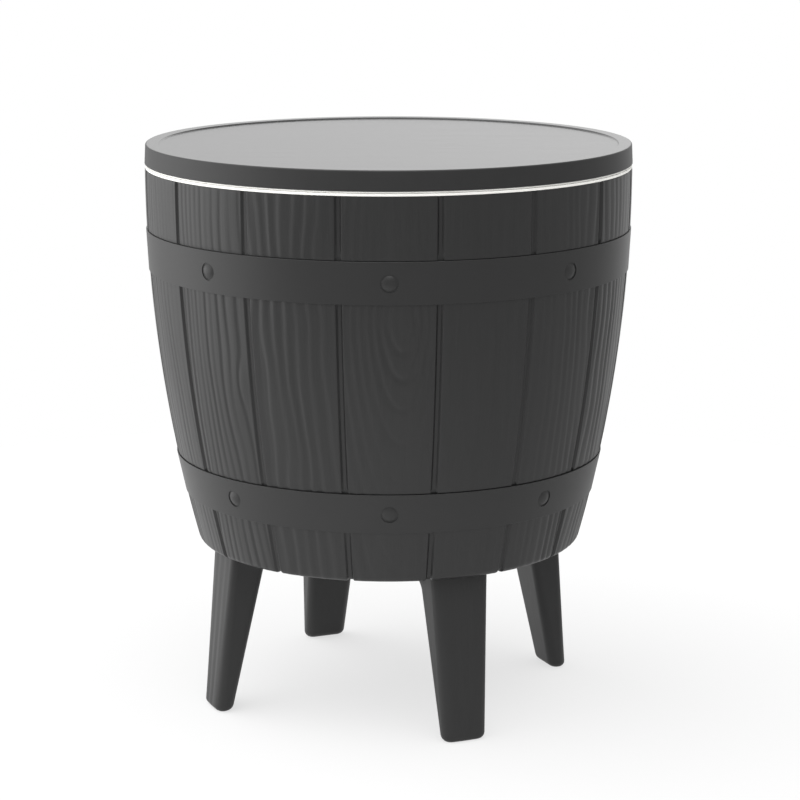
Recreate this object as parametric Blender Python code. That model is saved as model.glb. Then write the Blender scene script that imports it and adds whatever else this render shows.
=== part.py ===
"""Barrel-shaped drinks cooler table: a bucket in a staved barrel under a lifting table top.

Axis along +Z, floor at z = 0, metres. Azimuths run from -Y towards +X. The staves are centred
on multiples of 22.5 degrees and the four legs stand at odd multiples of 45 degrees.
"""
import math

import bmesh
import bpy
from mathutils import Matrix, Vector

# Overall sizes
TOP_RADIUS = 0.2475
CLOSED_HEIGHT = 0.5775
LEG_HEIGHT = 0.1675
GAP = 0.0003
BARREL_INSET = 0.0002
FLANGE_INSET = 0.0005
UNDER_INSET = 0.0005

# Barrel
STAVES = 16
BARREL_FOOT_RADIUS = 0.1974
WIDEST_BELOW_TOP = 0.007
BARREL_WALL = 0.0046
BARREL_FLOOR = 0.006
FOOT_ROUND = 0.0105
GROOVE_WIDTH = 0.0060
GROOVE_FLOOR_WIDTH = 0.0024
GROOVE_UNDER_HOOP = 0.0006

# Hoops and rivets
HOOP_WIDTH = 0.0413
HOOP_THICK = 0.0022
HOOP_PROUD = 0.0009
HOOP_EDGE = 0.0009
UPPER_HOOP_DROP = 0.0615
LOWER_HOOP_RISE = 0.0533
HOOP_SEGMENTS = 64
RIVET_RADIUS = 0.0080
RIVET_RISE = 0.0012
RIVET_SHANK = 0.0035
RIVET_SEGMENTS = 10

# Bucket
FLANGE_THICK = 0.0021
CAVITY_WIDTH = 0.010
CAVITY_HEIGHT = 0.020
LINER_WALL = 0.003
LINER_SEGMENTS = 48
LINER_ROUND = 0.022

# Table top
EDGE_HEIGHT = 0.0195
EDGE_DRAFT = 0.0010
RIM_WIDTH = 0.0140
RECESS = 0.0013
TOP_THICK = 0.003
TOP_SEGMENTS = 64
UNDER_EDGE = 0.0016
UNDER_PLATE = 0.0032
SKIRT_DEPTH = 0.013
SKIRT_THICK = 0.003
SKIRT_CLEAR = 0.0010

# Lifting pole
POLE_RADIUS = 0.0150
POLE_WALL = 0.0025
POLE_SEGMENTS = 24
HEAD_RADIUS = 0.045
HEAD_FLANGE = 0.0047
HEAD_CAP = 0.0025
HUB_WALL = 0.006
HUB_HEIGHT = 0.026
HUB_CLEAR = 0.0015
SLEEVE_CLEAR = 0.0040
SLEEVE_WALL = 0.0035
SOCKET_WALL = 0.003
SOCKET_HEIGHT = 0.018
COLLAR_LIP = 0.004
COLLAR_DEPTH = 0.0382
BUSH_HEIGHT = 0.025
KEY_WIDTH = 0.006
KEY_DEPTH = 0.0013
FOOT_FLANGE = 0.004
FOOT_CLEAR = 0.003
FOOT_EASE = 0.0015
FOOT_PLUG = 0.030
TWIST = math.radians(35.0)
LUG_ANGLE = math.radians(14.0)
PIN_RADIUS = 0.002
PIN_RISE = 0.011

# Screws
SCREW_RADIUS = 0.0023
SCREW_HEAD_RADIUS = 0.0045
SCREW_HEAD = 0.0030
SCREW_SEGMENTS = 8
HEAD_SCREW_BITE = 0.010
BOSS_WALL = 0.004

# Legs
LEG_INSET = 0.0130
LEG_TOP_DEPTH = 0.0392
LEG_TOP_WIDTH = 0.0596
LEG_SPLAY = 0.0144
LEG_FOOT_DEPTH = 0.0184
LEG_FOOT_WIDTH = 0.0428
LEG_EDGE = 0.0046
LEG_SOLE_EDGE = 0.0032
LEG_FLARE = 0.0050
LEG_FLARE_HEIGHT = 0.0080
EAR_LENGTH = 0.020
EAR_WIDTH = 0.044
EAR_THICK = 0.004
EAR_SCREW_SPREAD = 0.026
EAR_SCREW_BITE = 0.004

# Drain
DRAIN_OFFSET = 0.110
SPOUT_RADIUS = 0.0120
SPOUT_WALL = 0.0030
SPOUT_BRIM = 0.0070
SPOUT_FLANGE = 0.0024
SPOUT_DROP = 0.0150
DRAIN_SEGMENTS = 20
NUT_HEIGHT = 0.0052
NUT_WALL = 0.0066
CAP_WALL = 0.0046
CAP_FLOOR = 0.0035
CAP_EDGE = 0.0010
CAP_GRIP_HEIGHT = 0.006
CAP_GRIP_WIDTH = 0.005
SEAL_THICK = 0.0024
SEAL_LIP = 0.0020

# Levels, from the top down
Z_EDGE = CLOSED_HEIGHT - EDGE_HEIGHT
Z_UNDER_TOP = Z_EDGE - GAP
Z_UNDER_RIM = Z_UNDER_TOP - UNDER_EDGE
Z_PLATE = Z_UNDER_TOP - UNDER_PLATE
Z_FLANGE_TOP = Z_UNDER_RIM - GAP
Z_FLANGE = Z_FLANGE_TOP - FLANGE_THICK
Z_BARREL_TOP = Z_FLANGE - GAP
Z_HEAD_TOP = Z_PLATE - GAP
Z_HEAD = Z_HEAD_TOP - HEAD_FLANGE
Z_HUB = Z_HEAD - HUB_HEIGHT
Z_COLLAR_TOP = Z_HUB - HUB_CLEAR
Z_SLEEVE_TOP = Z_COLLAR_TOP - COLLAR_LIP - GAP
Z_PANEL = CLOSED_HEIGHT - RECESS
Z_PANEL_UNDER = Z_PANEL - TOP_THICK

# levels, from the floor up
Z_BARREL = LEG_HEIGHT + GAP
Z_FLOOR = Z_BARREL + BARREL_FLOOR
Z_LINER = Z_FLOOR + CAVITY_HEIGHT
Z_LINER_FLOOR = Z_LINER + LINER_WALL
Z_SLEEVE = Z_LINER_FLOOR + GAP
Z_FOOT = Z_LINER_FLOOR + FOOT_CLEAR
Z_BUSH = Z_FOOT + FOOT_FLANGE + GAP
Z_BUSH_TOP = Z_BUSH + BUSH_HEIGHT
Z_POLE = Z_BUSH_TOP + GAP
Z_COLLAR = Z_SLEEVE_TOP - COLLAR_DEPTH
LIFT = Z_COLLAR - GAP - Z_BUSH_TOP

# Derived radii
BARREL_RADIUS = TOP_RADIUS - BARREL_INSET
FLANGE_RADIUS = BARREL_RADIUS - FLANGE_INSET
STAVE_PITCH = math.tau / STAVES
HOOP_SAG = 1.0 / math.cos(math.pi / HOOP_SEGMENTS)
HOOP_SEAT = HOOP_THICK + GAP - HOOP_PROUD
GROOVE_DEPTH = HOOP_SEAT + GROOVE_UNDER_HOOP
NECK_RADIUS = POLE_RADIUS - POLE_WALL - GAP
SLEEVE_BORE = POLE_RADIUS + SLEEVE_CLEAR
BUSH_RADIUS = SLEEVE_BORE * math.cos(math.pi / POLE_SEGMENTS) - GAP
FOOT_FLANGE_RADIUS = BUSH_RADIUS - FOOT_EASE
HEAD_SCREW_CIRCLE = (HEAD_RADIUS + POLE_RADIUS + HUB_WALL) / 2
LEG_TOP_OUTER = BARREL_FOOT_RADIUS - LEG_INSET
SPOUT_BORE = SPOUT_RADIUS - SPOUT_WALL

for old in list(bpy.data.objects):
    bpy.data.objects.remove(old, do_unlink=True)

COLOURS = {
    "charcoal": ((0.046, 0.047, 0.049), 0.55, 0.0),
    "white": ((0.86, 0.86, 0.84), 0.45, 0.0),
    "steel": ((0.55, 0.55, 0.55), 0.32, 1.0),
    "grey": ((0.28, 0.28, 0.29), 0.50, 0.0),
    "rubber": ((0.020, 0.020, 0.021), 0.80, 0.0),
}


def place(name, bm, finish, sharp=30.0):
    """Turn a bmesh into a named object with its own material, smooth where it is round."""
    bmesh.ops.remove_doubles(bm, verts=bm.verts, dist=1e-6)
    bmesh.ops.recalc_face_normals(bm, faces=bm.faces)
    mesh = bpy.data.meshes.new(name)
    bm.to_mesh(mesh)
    bm.free()
    mesh.shade_smooth()
    mesh.set_sharp_from_angle(angle=math.radians(sharp))
    obj = bpy.data.objects.new(name, mesh)
    bpy.context.scene.collection.objects.link(obj)
    colour, roughness, metallic = COLOURS[finish]
    material = bpy.data.materials.new(name + "_" + finish)
    material.use_nodes = True
    shader = material.node_tree.nodes["Principled BSDF"]
    shader.inputs["Base Color"].default_value = (*colour, 1.0)
    shader.inputs["Roughness"].default_value = roughness
    shader.inputs["Metallic"].default_value = metallic
    mesh.materials.append(material)
    return obj


def copy_of(source, name):
    """A further piece of the same kind, sharing the first one's mesh."""
    twin = bpy.data.objects.new(name, source.data)
    bpy.context.scene.collection.objects.link(twin)
    return twin


def turned(profile, segments, phase=0.0, closed=True):
    """Turn a profile of (radius, z) points about Z. An open profile starts and ends on Z."""
    bm = bmesh.new()
    verts = [bm.verts.new((r, 0.0, z)) for r, z in profile]
    pairs = list(zip(verts, verts[1:]))
    if closed:
        pairs.append((verts[-1], verts[0]))
    edges = [bm.edges.new(pair) for pair in pairs]
    bmesh.ops.rotate(bm, verts=verts, cent=(0, 0, 0), matrix=Matrix.Rotation(phase, 3, "Z"))
    bmesh.ops.spin(bm, geom=verts + edges, cent=(0, 0, 0), axis=(0, 0, 1), dvec=(0, 0, 0),
                   angle=math.tau, steps=segments)
    bmesh.ops.remove_doubles(bm, verts=bm.verts, dist=1e-6)
    bmesh.ops.recalc_face_normals(bm, faces=bm.faces)
    return bm


def prism(outline, low, high):
    """Extrude a flat outline of (x, y) points from one level up to another."""
    bm = bmesh.new()
    face = bm.faces.new([bm.verts.new((x, y, low)) for x, y in outline])
    side = bmesh.ops.extrude_face_region(bm, geom=[face])
    lifted = [item for item in side["geom"] if isinstance(item, bmesh.types.BMVert)]
    bmesh.ops.translate(bm, verts=lifted, vec=(0, 0, high - low))
    bmesh.ops.recalc_face_normals(bm, faces=bm.faces)
    return bm


def cylinder(bm, radius, low, high, segments, centre=(0.0, 0.0), matrix=None):
    """Add a plain cylinder to a bmesh, upright unless a matrix turns it."""
    shift = Matrix.Translation((centre[0], centre[1], (low + high) / 2))
    bmesh.ops.create_cone(bm, cap_ends=True, cap_tris=False, segments=segments, radius1=radius,
                          radius2=radius, depth=high - low, matrix=(matrix or Matrix()) @ shift)


def block(bm, low, high):
    """Add a box between two opposite corners to a bmesh."""
    low = Vector(low)
    high = Vector(high)
    matrix = Matrix.Translation((low + high) / 2) @ Matrix.Diagonal((*(high - low), 1.0))
    bmesh.ops.create_cube(bm, size=1.0, matrix=matrix)


def tool(name, bm):
    """A hidden body that another one is cut by or joined with."""
    bmesh.ops.recalc_face_normals(bm, faces=bm.faces)
    mesh = bpy.data.meshes.new(name)
    bm.to_mesh(mesh)
    bm.free()
    obj = bpy.data.objects.new(name, mesh)
    bpy.context.scene.collection.objects.link(obj)
    obj.hide_render = True
    obj.display_type = "WIRE"
    return obj


def combine(obj, other, operation):
    """Cut a body by a tool, or join it to one."""
    boolean = obj.modifiers.new(other.name, "BOOLEAN")
    boolean.operation = operation
    boolean.object = other
    return boolean


def settle(obj):
    """Apply an object's modifiers, so that its copies can share the finished mesh."""
    bpy.context.view_layer.update()
    view = bpy.context.evaluated_depsgraph_get()
    obj.data = bpy.data.meshes.new_from_object(obj.evaluated_get(view))
    for modifier in list(obj.modifiers):
        bpy.data.objects.remove(modifier.object, do_unlink=True)
    obj.modifiers.clear()


def bore(radius, segments):
    """Radius of a faceted bore that clears a round piece of the given radius by the gap."""
    return (radius + GAP) / math.cos(math.pi / segments)


def polar(radius, angle):
    """A point at a radius and an azimuth that runs from -Y towards +X."""
    return radius * math.sin(angle), -radius * math.cos(angle)


def empty(name, location):
    """A point on a joint's axis that carries the pieces moving about it."""
    obj = bpy.data.objects.new(name, None)
    obj.location = location
    bpy.context.scene.collection.objects.link(obj)
    return obj


def carry(parent, *pieces):
    """Parent pieces to an empty without moving them."""
    for piece in pieces:
        piece.parent = parent
        piece.matrix_parent_inverse = Matrix.Translation(-Vector(parent.location))


# Barrel form
BOW_LEVEL = Z_BARREL_TOP - WIDEST_BELOW_TOP
BOW_RISE = BOW_LEVEL - Z_BARREL
BOW_INSET = BARREL_RADIUS - BARREL_FOOT_RADIUS
BOW_RADIUS = (BOW_RISE ** 2 + BOW_INSET ** 2) / (2 * BOW_INSET)


def barrel_radius(z):
    """Outer radius of the staves: an arc that is widest just under the rim."""
    drop = z - BOW_LEVEL
    return BARREL_RADIUS - BOW_RADIUS + math.sqrt(BOW_RADIUS ** 2 - drop ** 2)


def barrel_slope(z):
    """Lean of the staves from the upright, outward going up."""
    return math.asin((BOW_LEVEL - z) / BOW_RADIUS)


def hoop_levels():
    """Lower and upper edge of each hoop, the upper hoop first."""
    upper = Z_BARREL_TOP - UPPER_HOOP_DROP
    upper_height = HOOP_WIDTH * math.cos(barrel_slope(upper))
    lower = Z_BARREL + LOWER_HOOP_RISE
    lower_height = HOOP_WIDTH * math.cos(barrel_slope(lower))
    return [(upper - upper_height, upper), (lower, lower + lower_height)]


def stave_ring(bm, face, floor):
    """One loop round the barrel: four points over each stave and two in each groove."""
    ring = []
    for stave in range(STAVES):
        centre = stave * STAVE_PITCH
        reach = STAVE_PITCH / 2 - GROOVE_WIDTH / 2 / face[0]
        inset = STAVE_PITCH / 2 - GROOVE_FLOOR_WIDTH / 2 / face[0]
        for step in (-1, -1 / 3, 1 / 3, 1):
            ring.append(bm.verts.new((*polar(face[0], centre + step * reach), face[1])))
        for angle in (centre + inset, centre + STAVE_PITCH - inset):
            ring.append(bm.verts.new((*polar(floor[0], angle), floor[1])))
    return ring


def skin(bm, rings):
    """Join loops of equal length into a closed body with flat ends."""
    for lower, upper in zip(rings, rings[1:]):
        for i in range(len(lower)):
            j = (i + 1) % len(lower)
            bm.faces.new((lower[i], lower[j], upper[j], upper[i]))
    bm.faces.new(rings[0])
    bm.faces.new(rings[-1])


def build_barrel():
    """Staved shell: grooves between the staves, a rebate for each hoop and a flat floor."""
    bm = bmesh.new()
    rings = []
    lean = barrel_slope(Z_BARREL)
    turn_in = BARREL_FOOT_RADIUS + math.tan(lean) * FOOT_ROUND - FOOT_ROUND / math.cos(lean)
    turn_level = Z_BARREL + FOOT_ROUND

    flat = (turn_in - 0.005, Z_BARREL)
    rings.append(stave_ring(bm, flat, flat))
    for step in range(4):
        angle = -math.pi / 2 + (math.pi / 2 - lean) * step / 3
        face = (turn_in + FOOT_ROUND * math.cos(angle), turn_level + FOOT_ROUND * math.sin(angle))
        deep = FOOT_ROUND - GROOVE_DEPTH
        floor = (turn_in + deep * math.cos(angle), turn_level + deep * math.sin(angle))
        rings.append(stave_ring(bm, face, floor))

    def wall(z, seat=0.0, shift=0.0):
        r = barrel_radius(z)
        rings.append(stave_ring(bm, (r - seat, z), (r - GROOVE_DEPTH, z + shift)))

    (upper_low, upper_high), (lower_low, lower_high) = hoop_levels()
    step = GROOVE_UNDER_HOOP
    wall(lower_low - 2 * GAP)
    wall(lower_low - GAP, HOOP_SEAT, step)
    wall(lower_high + GAP, HOOP_SEAT, -step)
    wall(lower_high + 2 * GAP)
    for part in (1, 2):
        wall(lower_high + (upper_low - lower_high) * part / 3)
    wall(upper_low - 2 * GAP)
    wall(upper_low - GAP, HOOP_SEAT, step)
    wall(upper_high + GAP, HOOP_SEAT, -step)
    wall(upper_high + 2 * GAP)
    wall(Z_BARREL_TOP)
    skin(bm, rings)
    barrel = place("barrel_shell", bm, "charcoal", 25.0)

    levels = (turn_level + FOOT_ROUND, lower_high, upper_low, Z_BARREL_TOP)
    hollow = [(0.0, Z_FLOOR), (turn_in, Z_FLOOR)]
    hollow += [(barrel_radius(z) - BARREL_WALL, z) for z in levels]
    over = Z_BARREL_TOP + BARREL_WALL
    hollow += [(hollow[-1][0], over), (0.0, over)]
    inside = turned(hollow, LINER_SEGMENTS, closed=False)
    combine(barrel, tool("barrel_inside", inside), "DIFFERENCE")

    holes = bmesh.new()
    for angle in leg_angles():
        for side in (-1, 1):
            spot = leg_point(angle, ear_screw_radius(), side * EAR_SCREW_SPREAD / 2)
            cylinder(holes, bore(SCREW_RADIUS, SCREW_SEGMENTS), Z_BARREL - 0.002,
                     Z_BARREL + EAR_SCREW_BITE + GAP, SCREW_SEGMENTS, spot)
    cylinder(holes, bore(SPOUT_RADIUS, DRAIN_SEGMENTS), Z_BARREL - 0.002, Z_FLOOR + 0.002,
             DRAIN_SEGMENTS, (0.0, DRAIN_OFFSET))
    combine(barrel, tool("barrel_holes", holes), "DIFFERENCE")
    return barrel


def build_hoops():
    """Two plain bands, faceted so that each rivet head lies on a flat."""
    hoops = []
    phase = math.pi / HOOP_SEGMENTS
    for name, (low, high) in zip(("upper_hoop", "lower_hoop"), hoop_levels()):
        outer_low = barrel_radius(low) + HOOP_PROUD
        outer_high = barrel_radius(high) + HOOP_PROUD
        rise = HOOP_EDGE / (high - low)
        edge = outer_low + (outer_high - outer_low) * rise
        inner_low = outer_low - HOOP_THICK
        inner_high = outer_high - HOOP_THICK
        profile = [
            (outer_high, high), (edge, low + HOOP_EDGE), (edge - HOOP_EDGE, low),
            (inner_low, low), (inner_high, high),
        ]
        ring = turned([(r * HOOP_SAG, z) for r, z in profile], HOOP_SEGMENTS, phase)
        hoop = place(name, ring, "charcoal")
        holes = bmesh.new()
        for index in range(STAVES // 2):
            cylinder(holes, bore(RIVET_SHANK, RIVET_SEGMENTS), -2 * HOOP_THICK, HOOP_THICK,
                     RIVET_SEGMENTS, matrix=rivet_matrix(low, high, index))
        combine(hoop, tool(name + "_holes", holes), "DIFFERENCE")
        hoops.append(hoop)
    return hoops


def rivet_matrix(low, high, index):
    """Seat of a rivet: origin on the hoop's face, Z straight out of it."""
    middle = (low + high) / 2
    lean = math.atan2(barrel_radius(high) - barrel_radius(low), high - low)
    radius = (barrel_radius(low) + barrel_radius(high)) / 2 + HOOP_PROUD
    azimuth = (2 * index + 1) * STAVE_PITCH
    seat = Matrix.Translation((*polar(radius, azimuth), middle))
    return seat @ Matrix.Rotation(azimuth, 4, "Z") @ Matrix.Rotation(math.pi / 2 + lean, 4, "X")


def build_rivets():
    """Low domed heads with a stub through the hoop, eight to a hoop."""
    rise = RIVET_RISE
    profile = [
        (0.0, GAP + rise), (RIVET_RADIUS * 0.62, GAP + rise * 0.78), (RIVET_RADIUS, GAP),
        (RIVET_SHANK, GAP), (RIVET_SHANK, -HOOP_THICK), (0.0, -HOOP_THICK),
    ]
    first = None
    for hoop, (low, high) in zip(("upper", "lower"), hoop_levels()):
        for index in range(STAVES // 2):
            name = f"{hoop}_rivet_{index + 1}"
            if first is None:
                first = place(name, turned(profile, RIVET_SEGMENTS, closed=False), "charcoal", 40.0)
                rivet = first
            else:
                rivet = copy_of(first, name)
            rivet.matrix_world = rivet_matrix(low, high, index)


# Bucket
def liner_radius(z):
    """Outer radius of the bucket: the barrel's inner wall less the insulating space."""
    return barrel_radius(z) - BARREL_WALL - CAVITY_WIDTH


def liner_mouth():
    """Clear radius of the bucket's faceted mouth."""
    return (liner_radius(Z_FLANGE) - LINER_WALL) * math.cos(math.pi / LINER_SEGMENTS)


def build_liner():
    """Bucket with a resting flange, a rounded foot and a socket for the guide sleeve."""
    low_wall = Z_LINER + LINER_ROUND
    wall_levels = [low_wall + (Z_FLANGE - low_wall) * part / 3 for part in range(4)]
    foot_radius = liner_radius(low_wall)
    slack = LINER_ROUND * 0.35
    outer = [(foot_radius - LINER_ROUND, Z_LINER), (foot_radius - slack, Z_LINER + slack)]
    outer += [(liner_radius(z), z) for z in wall_levels]
    inner = [(liner_radius(z) - LINER_WALL, z) for z in reversed(wall_levels[:-1])]
    inner += [(foot_radius - slack - LINER_WALL * 0.8, Z_LINER_FLOOR + slack),
              (foot_radius - LINER_ROUND - LINER_WALL * 0.3, Z_LINER_FLOOR)]
    socket = bore(SLEEVE_BORE + SLEEVE_WALL, LINER_SEGMENTS)
    brim = liner_radius(Z_FLANGE) - LINER_WALL
    profile = [(0.0, Z_LINER), *outer]
    profile += [(FLANGE_RADIUS, Z_FLANGE), (FLANGE_RADIUS, Z_FLANGE_TOP), (brim, Z_FLANGE_TOP)]
    profile += inner
    profile += [(socket + SOCKET_WALL, Z_LINER_FLOOR), (socket + SOCKET_WALL, Z_LINER_FLOOR + SOCKET_HEIGHT),
                (socket, Z_LINER_FLOOR + SOCKET_HEIGHT), (socket, Z_LINER_FLOOR), (0.0, Z_LINER_FLOOR)]
    liner = place("bucket_liner", turned(profile, LINER_SEGMENTS, closed=False), "white")
    hole = bmesh.new()
    cylinder(hole, bore(SPOUT_RADIUS, DRAIN_SEGMENTS), Z_LINER - 0.002, Z_LINER_FLOOR + 0.002,
             DRAIN_SEGMENTS, (0.0, DRAIN_OFFSET))
    combine(liner, tool("liner_hole", hole), "DIFFERENCE")
    return liner


# Table top
def head_screw_spots():
    """Centres of the four screws that hold the pole's head to the table top."""
    return [polar(HEAD_SCREW_CIRCLE, math.pi / 4 + i * math.pi / 2) for i in range(4)]


def build_table_top():
    """Dark tray: raised rim, sunk panel, deep edge and four screw bosses underneath."""
    top_radius = TOP_RADIUS - EDGE_DRAFT
    rim = top_radius - RIM_WIDTH
    soft = RECESS * 0.6
    profile = [
        (0.0, Z_PANEL), (rim - soft, Z_PANEL), (rim, Z_PANEL + soft), (rim + soft, CLOSED_HEIGHT),
        (top_radius - soft, CLOSED_HEIGHT), (top_radius, CLOSED_HEIGHT - soft),
        (TOP_RADIUS, Z_EDGE + soft / 2), (TOP_RADIUS - soft / 2, Z_EDGE),
        (TOP_RADIUS - TOP_THICK, Z_EDGE), (top_radius - TOP_THICK, Z_PANEL_UNDER), (0.0, Z_PANEL_UNDER),
    ]
    tray = place("table_top", turned(profile, TOP_SEGMENTS, closed=False), "charcoal")
    bosses = bmesh.new()
    holes = bmesh.new()
    clear = bore(SCREW_RADIUS, SCREW_SEGMENTS)
    for spot in head_screw_spots():
        cylinder(bosses, clear + BOSS_WALL, Z_EDGE, Z_PANEL_UNDER + TOP_THICK / 2, SCREW_SEGMENTS, spot)
        cylinder(holes, clear, Z_EDGE - 0.002, Z_EDGE + HEAD_SCREW_BITE + GAP, SCREW_SEGMENTS, spot)
    combine(tray, tool("top_bosses", bosses), "UNION")
    combine(tray, tool("top_boss_holes", holes), "DIFFERENCE")
    return tray


def build_underside():
    """White lower shell: a thin edge that shows all round and a skirt that drops in the bucket."""
    edge = FLANGE_RADIUS - UNDER_INSET
    skirt = liner_mouth() - SKIRT_CLEAR
    profile = [
        (0.0, Z_UNDER_TOP), (edge, Z_UNDER_TOP), (edge, Z_UNDER_RIM), (skirt, Z_UNDER_RIM),
        (skirt, Z_PLATE - SKIRT_DEPTH), (skirt - SKIRT_THICK, Z_PLATE - SKIRT_DEPTH),
        (skirt - SKIRT_THICK, Z_PLATE), (0.0, Z_PLATE),
    ]
    under = place("top_underside", turned(profile, LINER_SEGMENTS, closed=False), "white")
    holes = bmesh.new()
    for spot in head_screw_spots():
        cylinder(holes, bore(SCREW_RADIUS, SCREW_SEGMENTS), Z_PLATE - 0.002, Z_UNDER_TOP + 0.002,
                 SCREW_SEGMENTS, spot)
    combine(under, tool("underside_holes", holes), "DIFFERENCE")
    return under


def build_screw(name, bite, finish="steel"):
    """Pan-head screw: head below its seat at z = 0, shank up to its bite."""
    head = SCREW_HEAD_RADIUS
    profile = [
        (0.0, -SCREW_HEAD), (head * 0.8, -SCREW_HEAD), (head, 0.0), (SCREW_RADIUS, 0.0),
        (SCREW_RADIUS, bite), (0.0, bite),
    ]
    return place(name, turned(profile, SCREW_SEGMENTS, closed=False), finish)


# Lifting pole
def cross_pin(name, reach, level, finish="steel"):
    """Straight pin along X through the pole at a level."""
    bm = bmesh.new()
    cylinder(bm, PIN_RADIUS, -reach, reach, SCREW_SEGMENTS,
             matrix=Matrix.Translation((0, 0, level)) @ Matrix.Rotation(math.pi / 2, 4, "Y"))
    return place(name, bm, finish)


def pin_hole(name, reach, level):
    """Cutter for a cross pin's hole."""
    bm = bmesh.new()
    cylinder(bm, bore(PIN_RADIUS, SCREW_SEGMENTS), -reach, reach, SCREW_SEGMENTS,
             matrix=Matrix.Translation((0, 0, level)) @ Matrix.Rotation(math.pi / 2, 4, "Y"))
    return tool(name, bm)


def build_pole_group():
    """Head, tube, foot and their pins: all of it lifts and turns with the table top."""
    hub_bore = bore(POLE_RADIUS, POLE_SEGMENTS)
    hub = hub_bore + HUB_WALL
    profile = [
        (0.0, Z_HEAD_TOP), (HEAD_RADIUS, Z_HEAD_TOP), (HEAD_RADIUS, Z_HEAD), (hub, Z_HEAD),
        (hub, Z_HUB), (hub_bore, Z_HUB), (hub_bore, Z_HEAD_TOP - HEAD_CAP), (0.0, Z_HEAD_TOP - HEAD_CAP),
    ]
    head = place("pole_head", turned(profile, POLE_SEGMENTS, closed=False), "grey")
    holes = bmesh.new()
    for spot in head_screw_spots():
        cylinder(holes, bore(SCREW_RADIUS, SCREW_SEGMENTS), Z_HEAD - 0.002, Z_HEAD_TOP + 0.002,
                 SCREW_SEGMENTS, spot)
    combine(head, tool("head_holes", holes), "DIFFERENCE")

    inner = POLE_RADIUS - POLE_WALL
    top = Z_HEAD_TOP - HEAD_CAP - GAP
    tube = [(POLE_RADIUS, top), (POLE_RADIUS, Z_POLE), (inner, Z_POLE), (inner, top)]
    pole = place("lift_pole", turned(tube, POLE_SEGMENTS), "grey")

    neck = NECK_RADIUS * math.cos(math.pi / POLE_SEGMENTS)
    spool = [
        (0.0, Z_POLE + FOOT_PLUG), (neck, Z_POLE + FOOT_PLUG), (neck, Z_FOOT + FOOT_FLANGE),
        (FOOT_FLANGE_RADIUS, Z_FOOT + FOOT_FLANGE), (FOOT_FLANGE_RADIUS, Z_FOOT), (0.0, Z_FOOT),
    ]
    foot = place("pole_foot", turned(spool, POLE_SEGMENTS, closed=False), "grey")
    half = LUG_ANGLE / 2
    arc = [half - LUG_ANGLE * i / 3 for i in range(4)]
    lug = [(FOOT_FLANGE_RADIUS * math.cos(a), FOOT_FLANGE_RADIUS * math.sin(a)) for a in arc]
    lug += [(neck * 0.7 * math.cos(a), neck * 0.7 * math.sin(a)) for a in (-half, half)]
    combine(foot, tool("foot_lug", prism(lug, Z_FOOT + FOOT_FLANGE / 2, Z_BUSH_TOP - GAP)), "UNION")

    head_level = Z_HUB + PIN_RISE
    foot_level = Z_POLE + PIN_RISE
    combine(head, pin_hole("head_pin_hole", hub + 0.002, head_level), "DIFFERENCE")
    combine(pole, pin_hole("pole_top_hole", POLE_RADIUS + 0.002, head_level), "DIFFERENCE")
    combine(pole, pin_hole("pole_foot_hole", POLE_RADIUS + 0.002, foot_level), "DIFFERENCE")
    combine(foot, pin_hole("foot_pin_hole", POLE_RADIUS + 0.002, foot_level), "DIFFERENCE")
    pins = [cross_pin("head_pin", hub - 2 * GAP, head_level),
            cross_pin("foot_pin", POLE_RADIUS - 2 * GAP, foot_level)]
    return [head, pole, foot, *pins]


def build_bush():
    """Split clamp ring with two keys. Its slit is the lug's path, with a stop at each end."""
    outer = BUSH_RADIUS
    inner = bore(NECK_RADIUS, POLE_SEGMENTS)
    ease = 1.5 * GAP / inner
    start = LUG_ANGLE / 2 + ease
    end = math.tau - TWIST - LUG_ANGLE / 2 - ease
    key = KEY_WIDTH / 2 / outer
    angles = {start: outer, end: outer}
    count = POLE_SEGMENTS
    for i in range(count):
        angle = start + (end - start) * (i + 0.5) / count
        angles[angle] = outer
    for middle in (math.pi / 2, 3 * math.pi / 2):
        angles = {a: r for a, r in angles.items() if abs(a - middle) > key * 1.3}
        for edge in (middle - key, middle + key):
            angles[edge] = outer + KEY_DEPTH - GAP
            angles[edge + math.copysign(0.012, edge - middle)] = outer
    outline = [(angles[a] * math.cos(a), angles[a] * math.sin(a)) for a in sorted(angles)]
    back = [end + (start - end) * i / (count - 2) for i in range(count - 1)]
    outline += [(inner * math.cos(a), inner * math.sin(a)) for a in back]
    return place("clamp_bush", prism(outline, Z_BUSH, Z_BUSH_TOP), "white")


def build_sleeve():
    """Guide tube that stands in the bucket's socket, with two key grooves down its bore."""
    outer = SLEEVE_BORE + SLEEVE_WALL
    tube = [(outer, Z_SLEEVE_TOP), (outer, Z_SLEEVE), (SLEEVE_BORE, Z_SLEEVE), (SLEEVE_BORE, Z_SLEEVE_TOP)]
    sleeve = place("guide_sleeve", turned(tube, POLE_SEGMENTS), "white")
    reach = SLEEVE_BORE + KEY_DEPTH
    half = KEY_WIDTH / 2 + 3 * GAP
    slots = bmesh.new()
    block(slots, (-half, -reach, Z_SLEEVE - 0.002), (half, reach, Z_SLEEVE_TOP + 0.002))
    combine(sleeve, tool("sleeve_slots", slots), "DIFFERENCE")

    insert = SLEEVE_BORE * math.cos(math.pi / POLE_SEGMENTS) - GAP
    pole_bore = bore(POLE_RADIUS, POLE_SEGMENTS)
    lip = Z_COLLAR_TOP - COLLAR_LIP
    ring = [(outer, Z_COLLAR_TOP), (outer, lip), (insert, lip), (insert, Z_COLLAR), (pole_bore, Z_COLLAR),
            (pole_bore, Z_COLLAR_TOP)]
    collar = place("sleeve_collar", turned(ring, POLE_SEGMENTS), "grey")
    return [sleeve, collar]


# Legs
def leg_angles():
    """Azimuths of the four legs, each under the middle of a stave."""
    return [math.pi / 4 + i * math.pi / 2 for i in range(4)]


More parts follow.
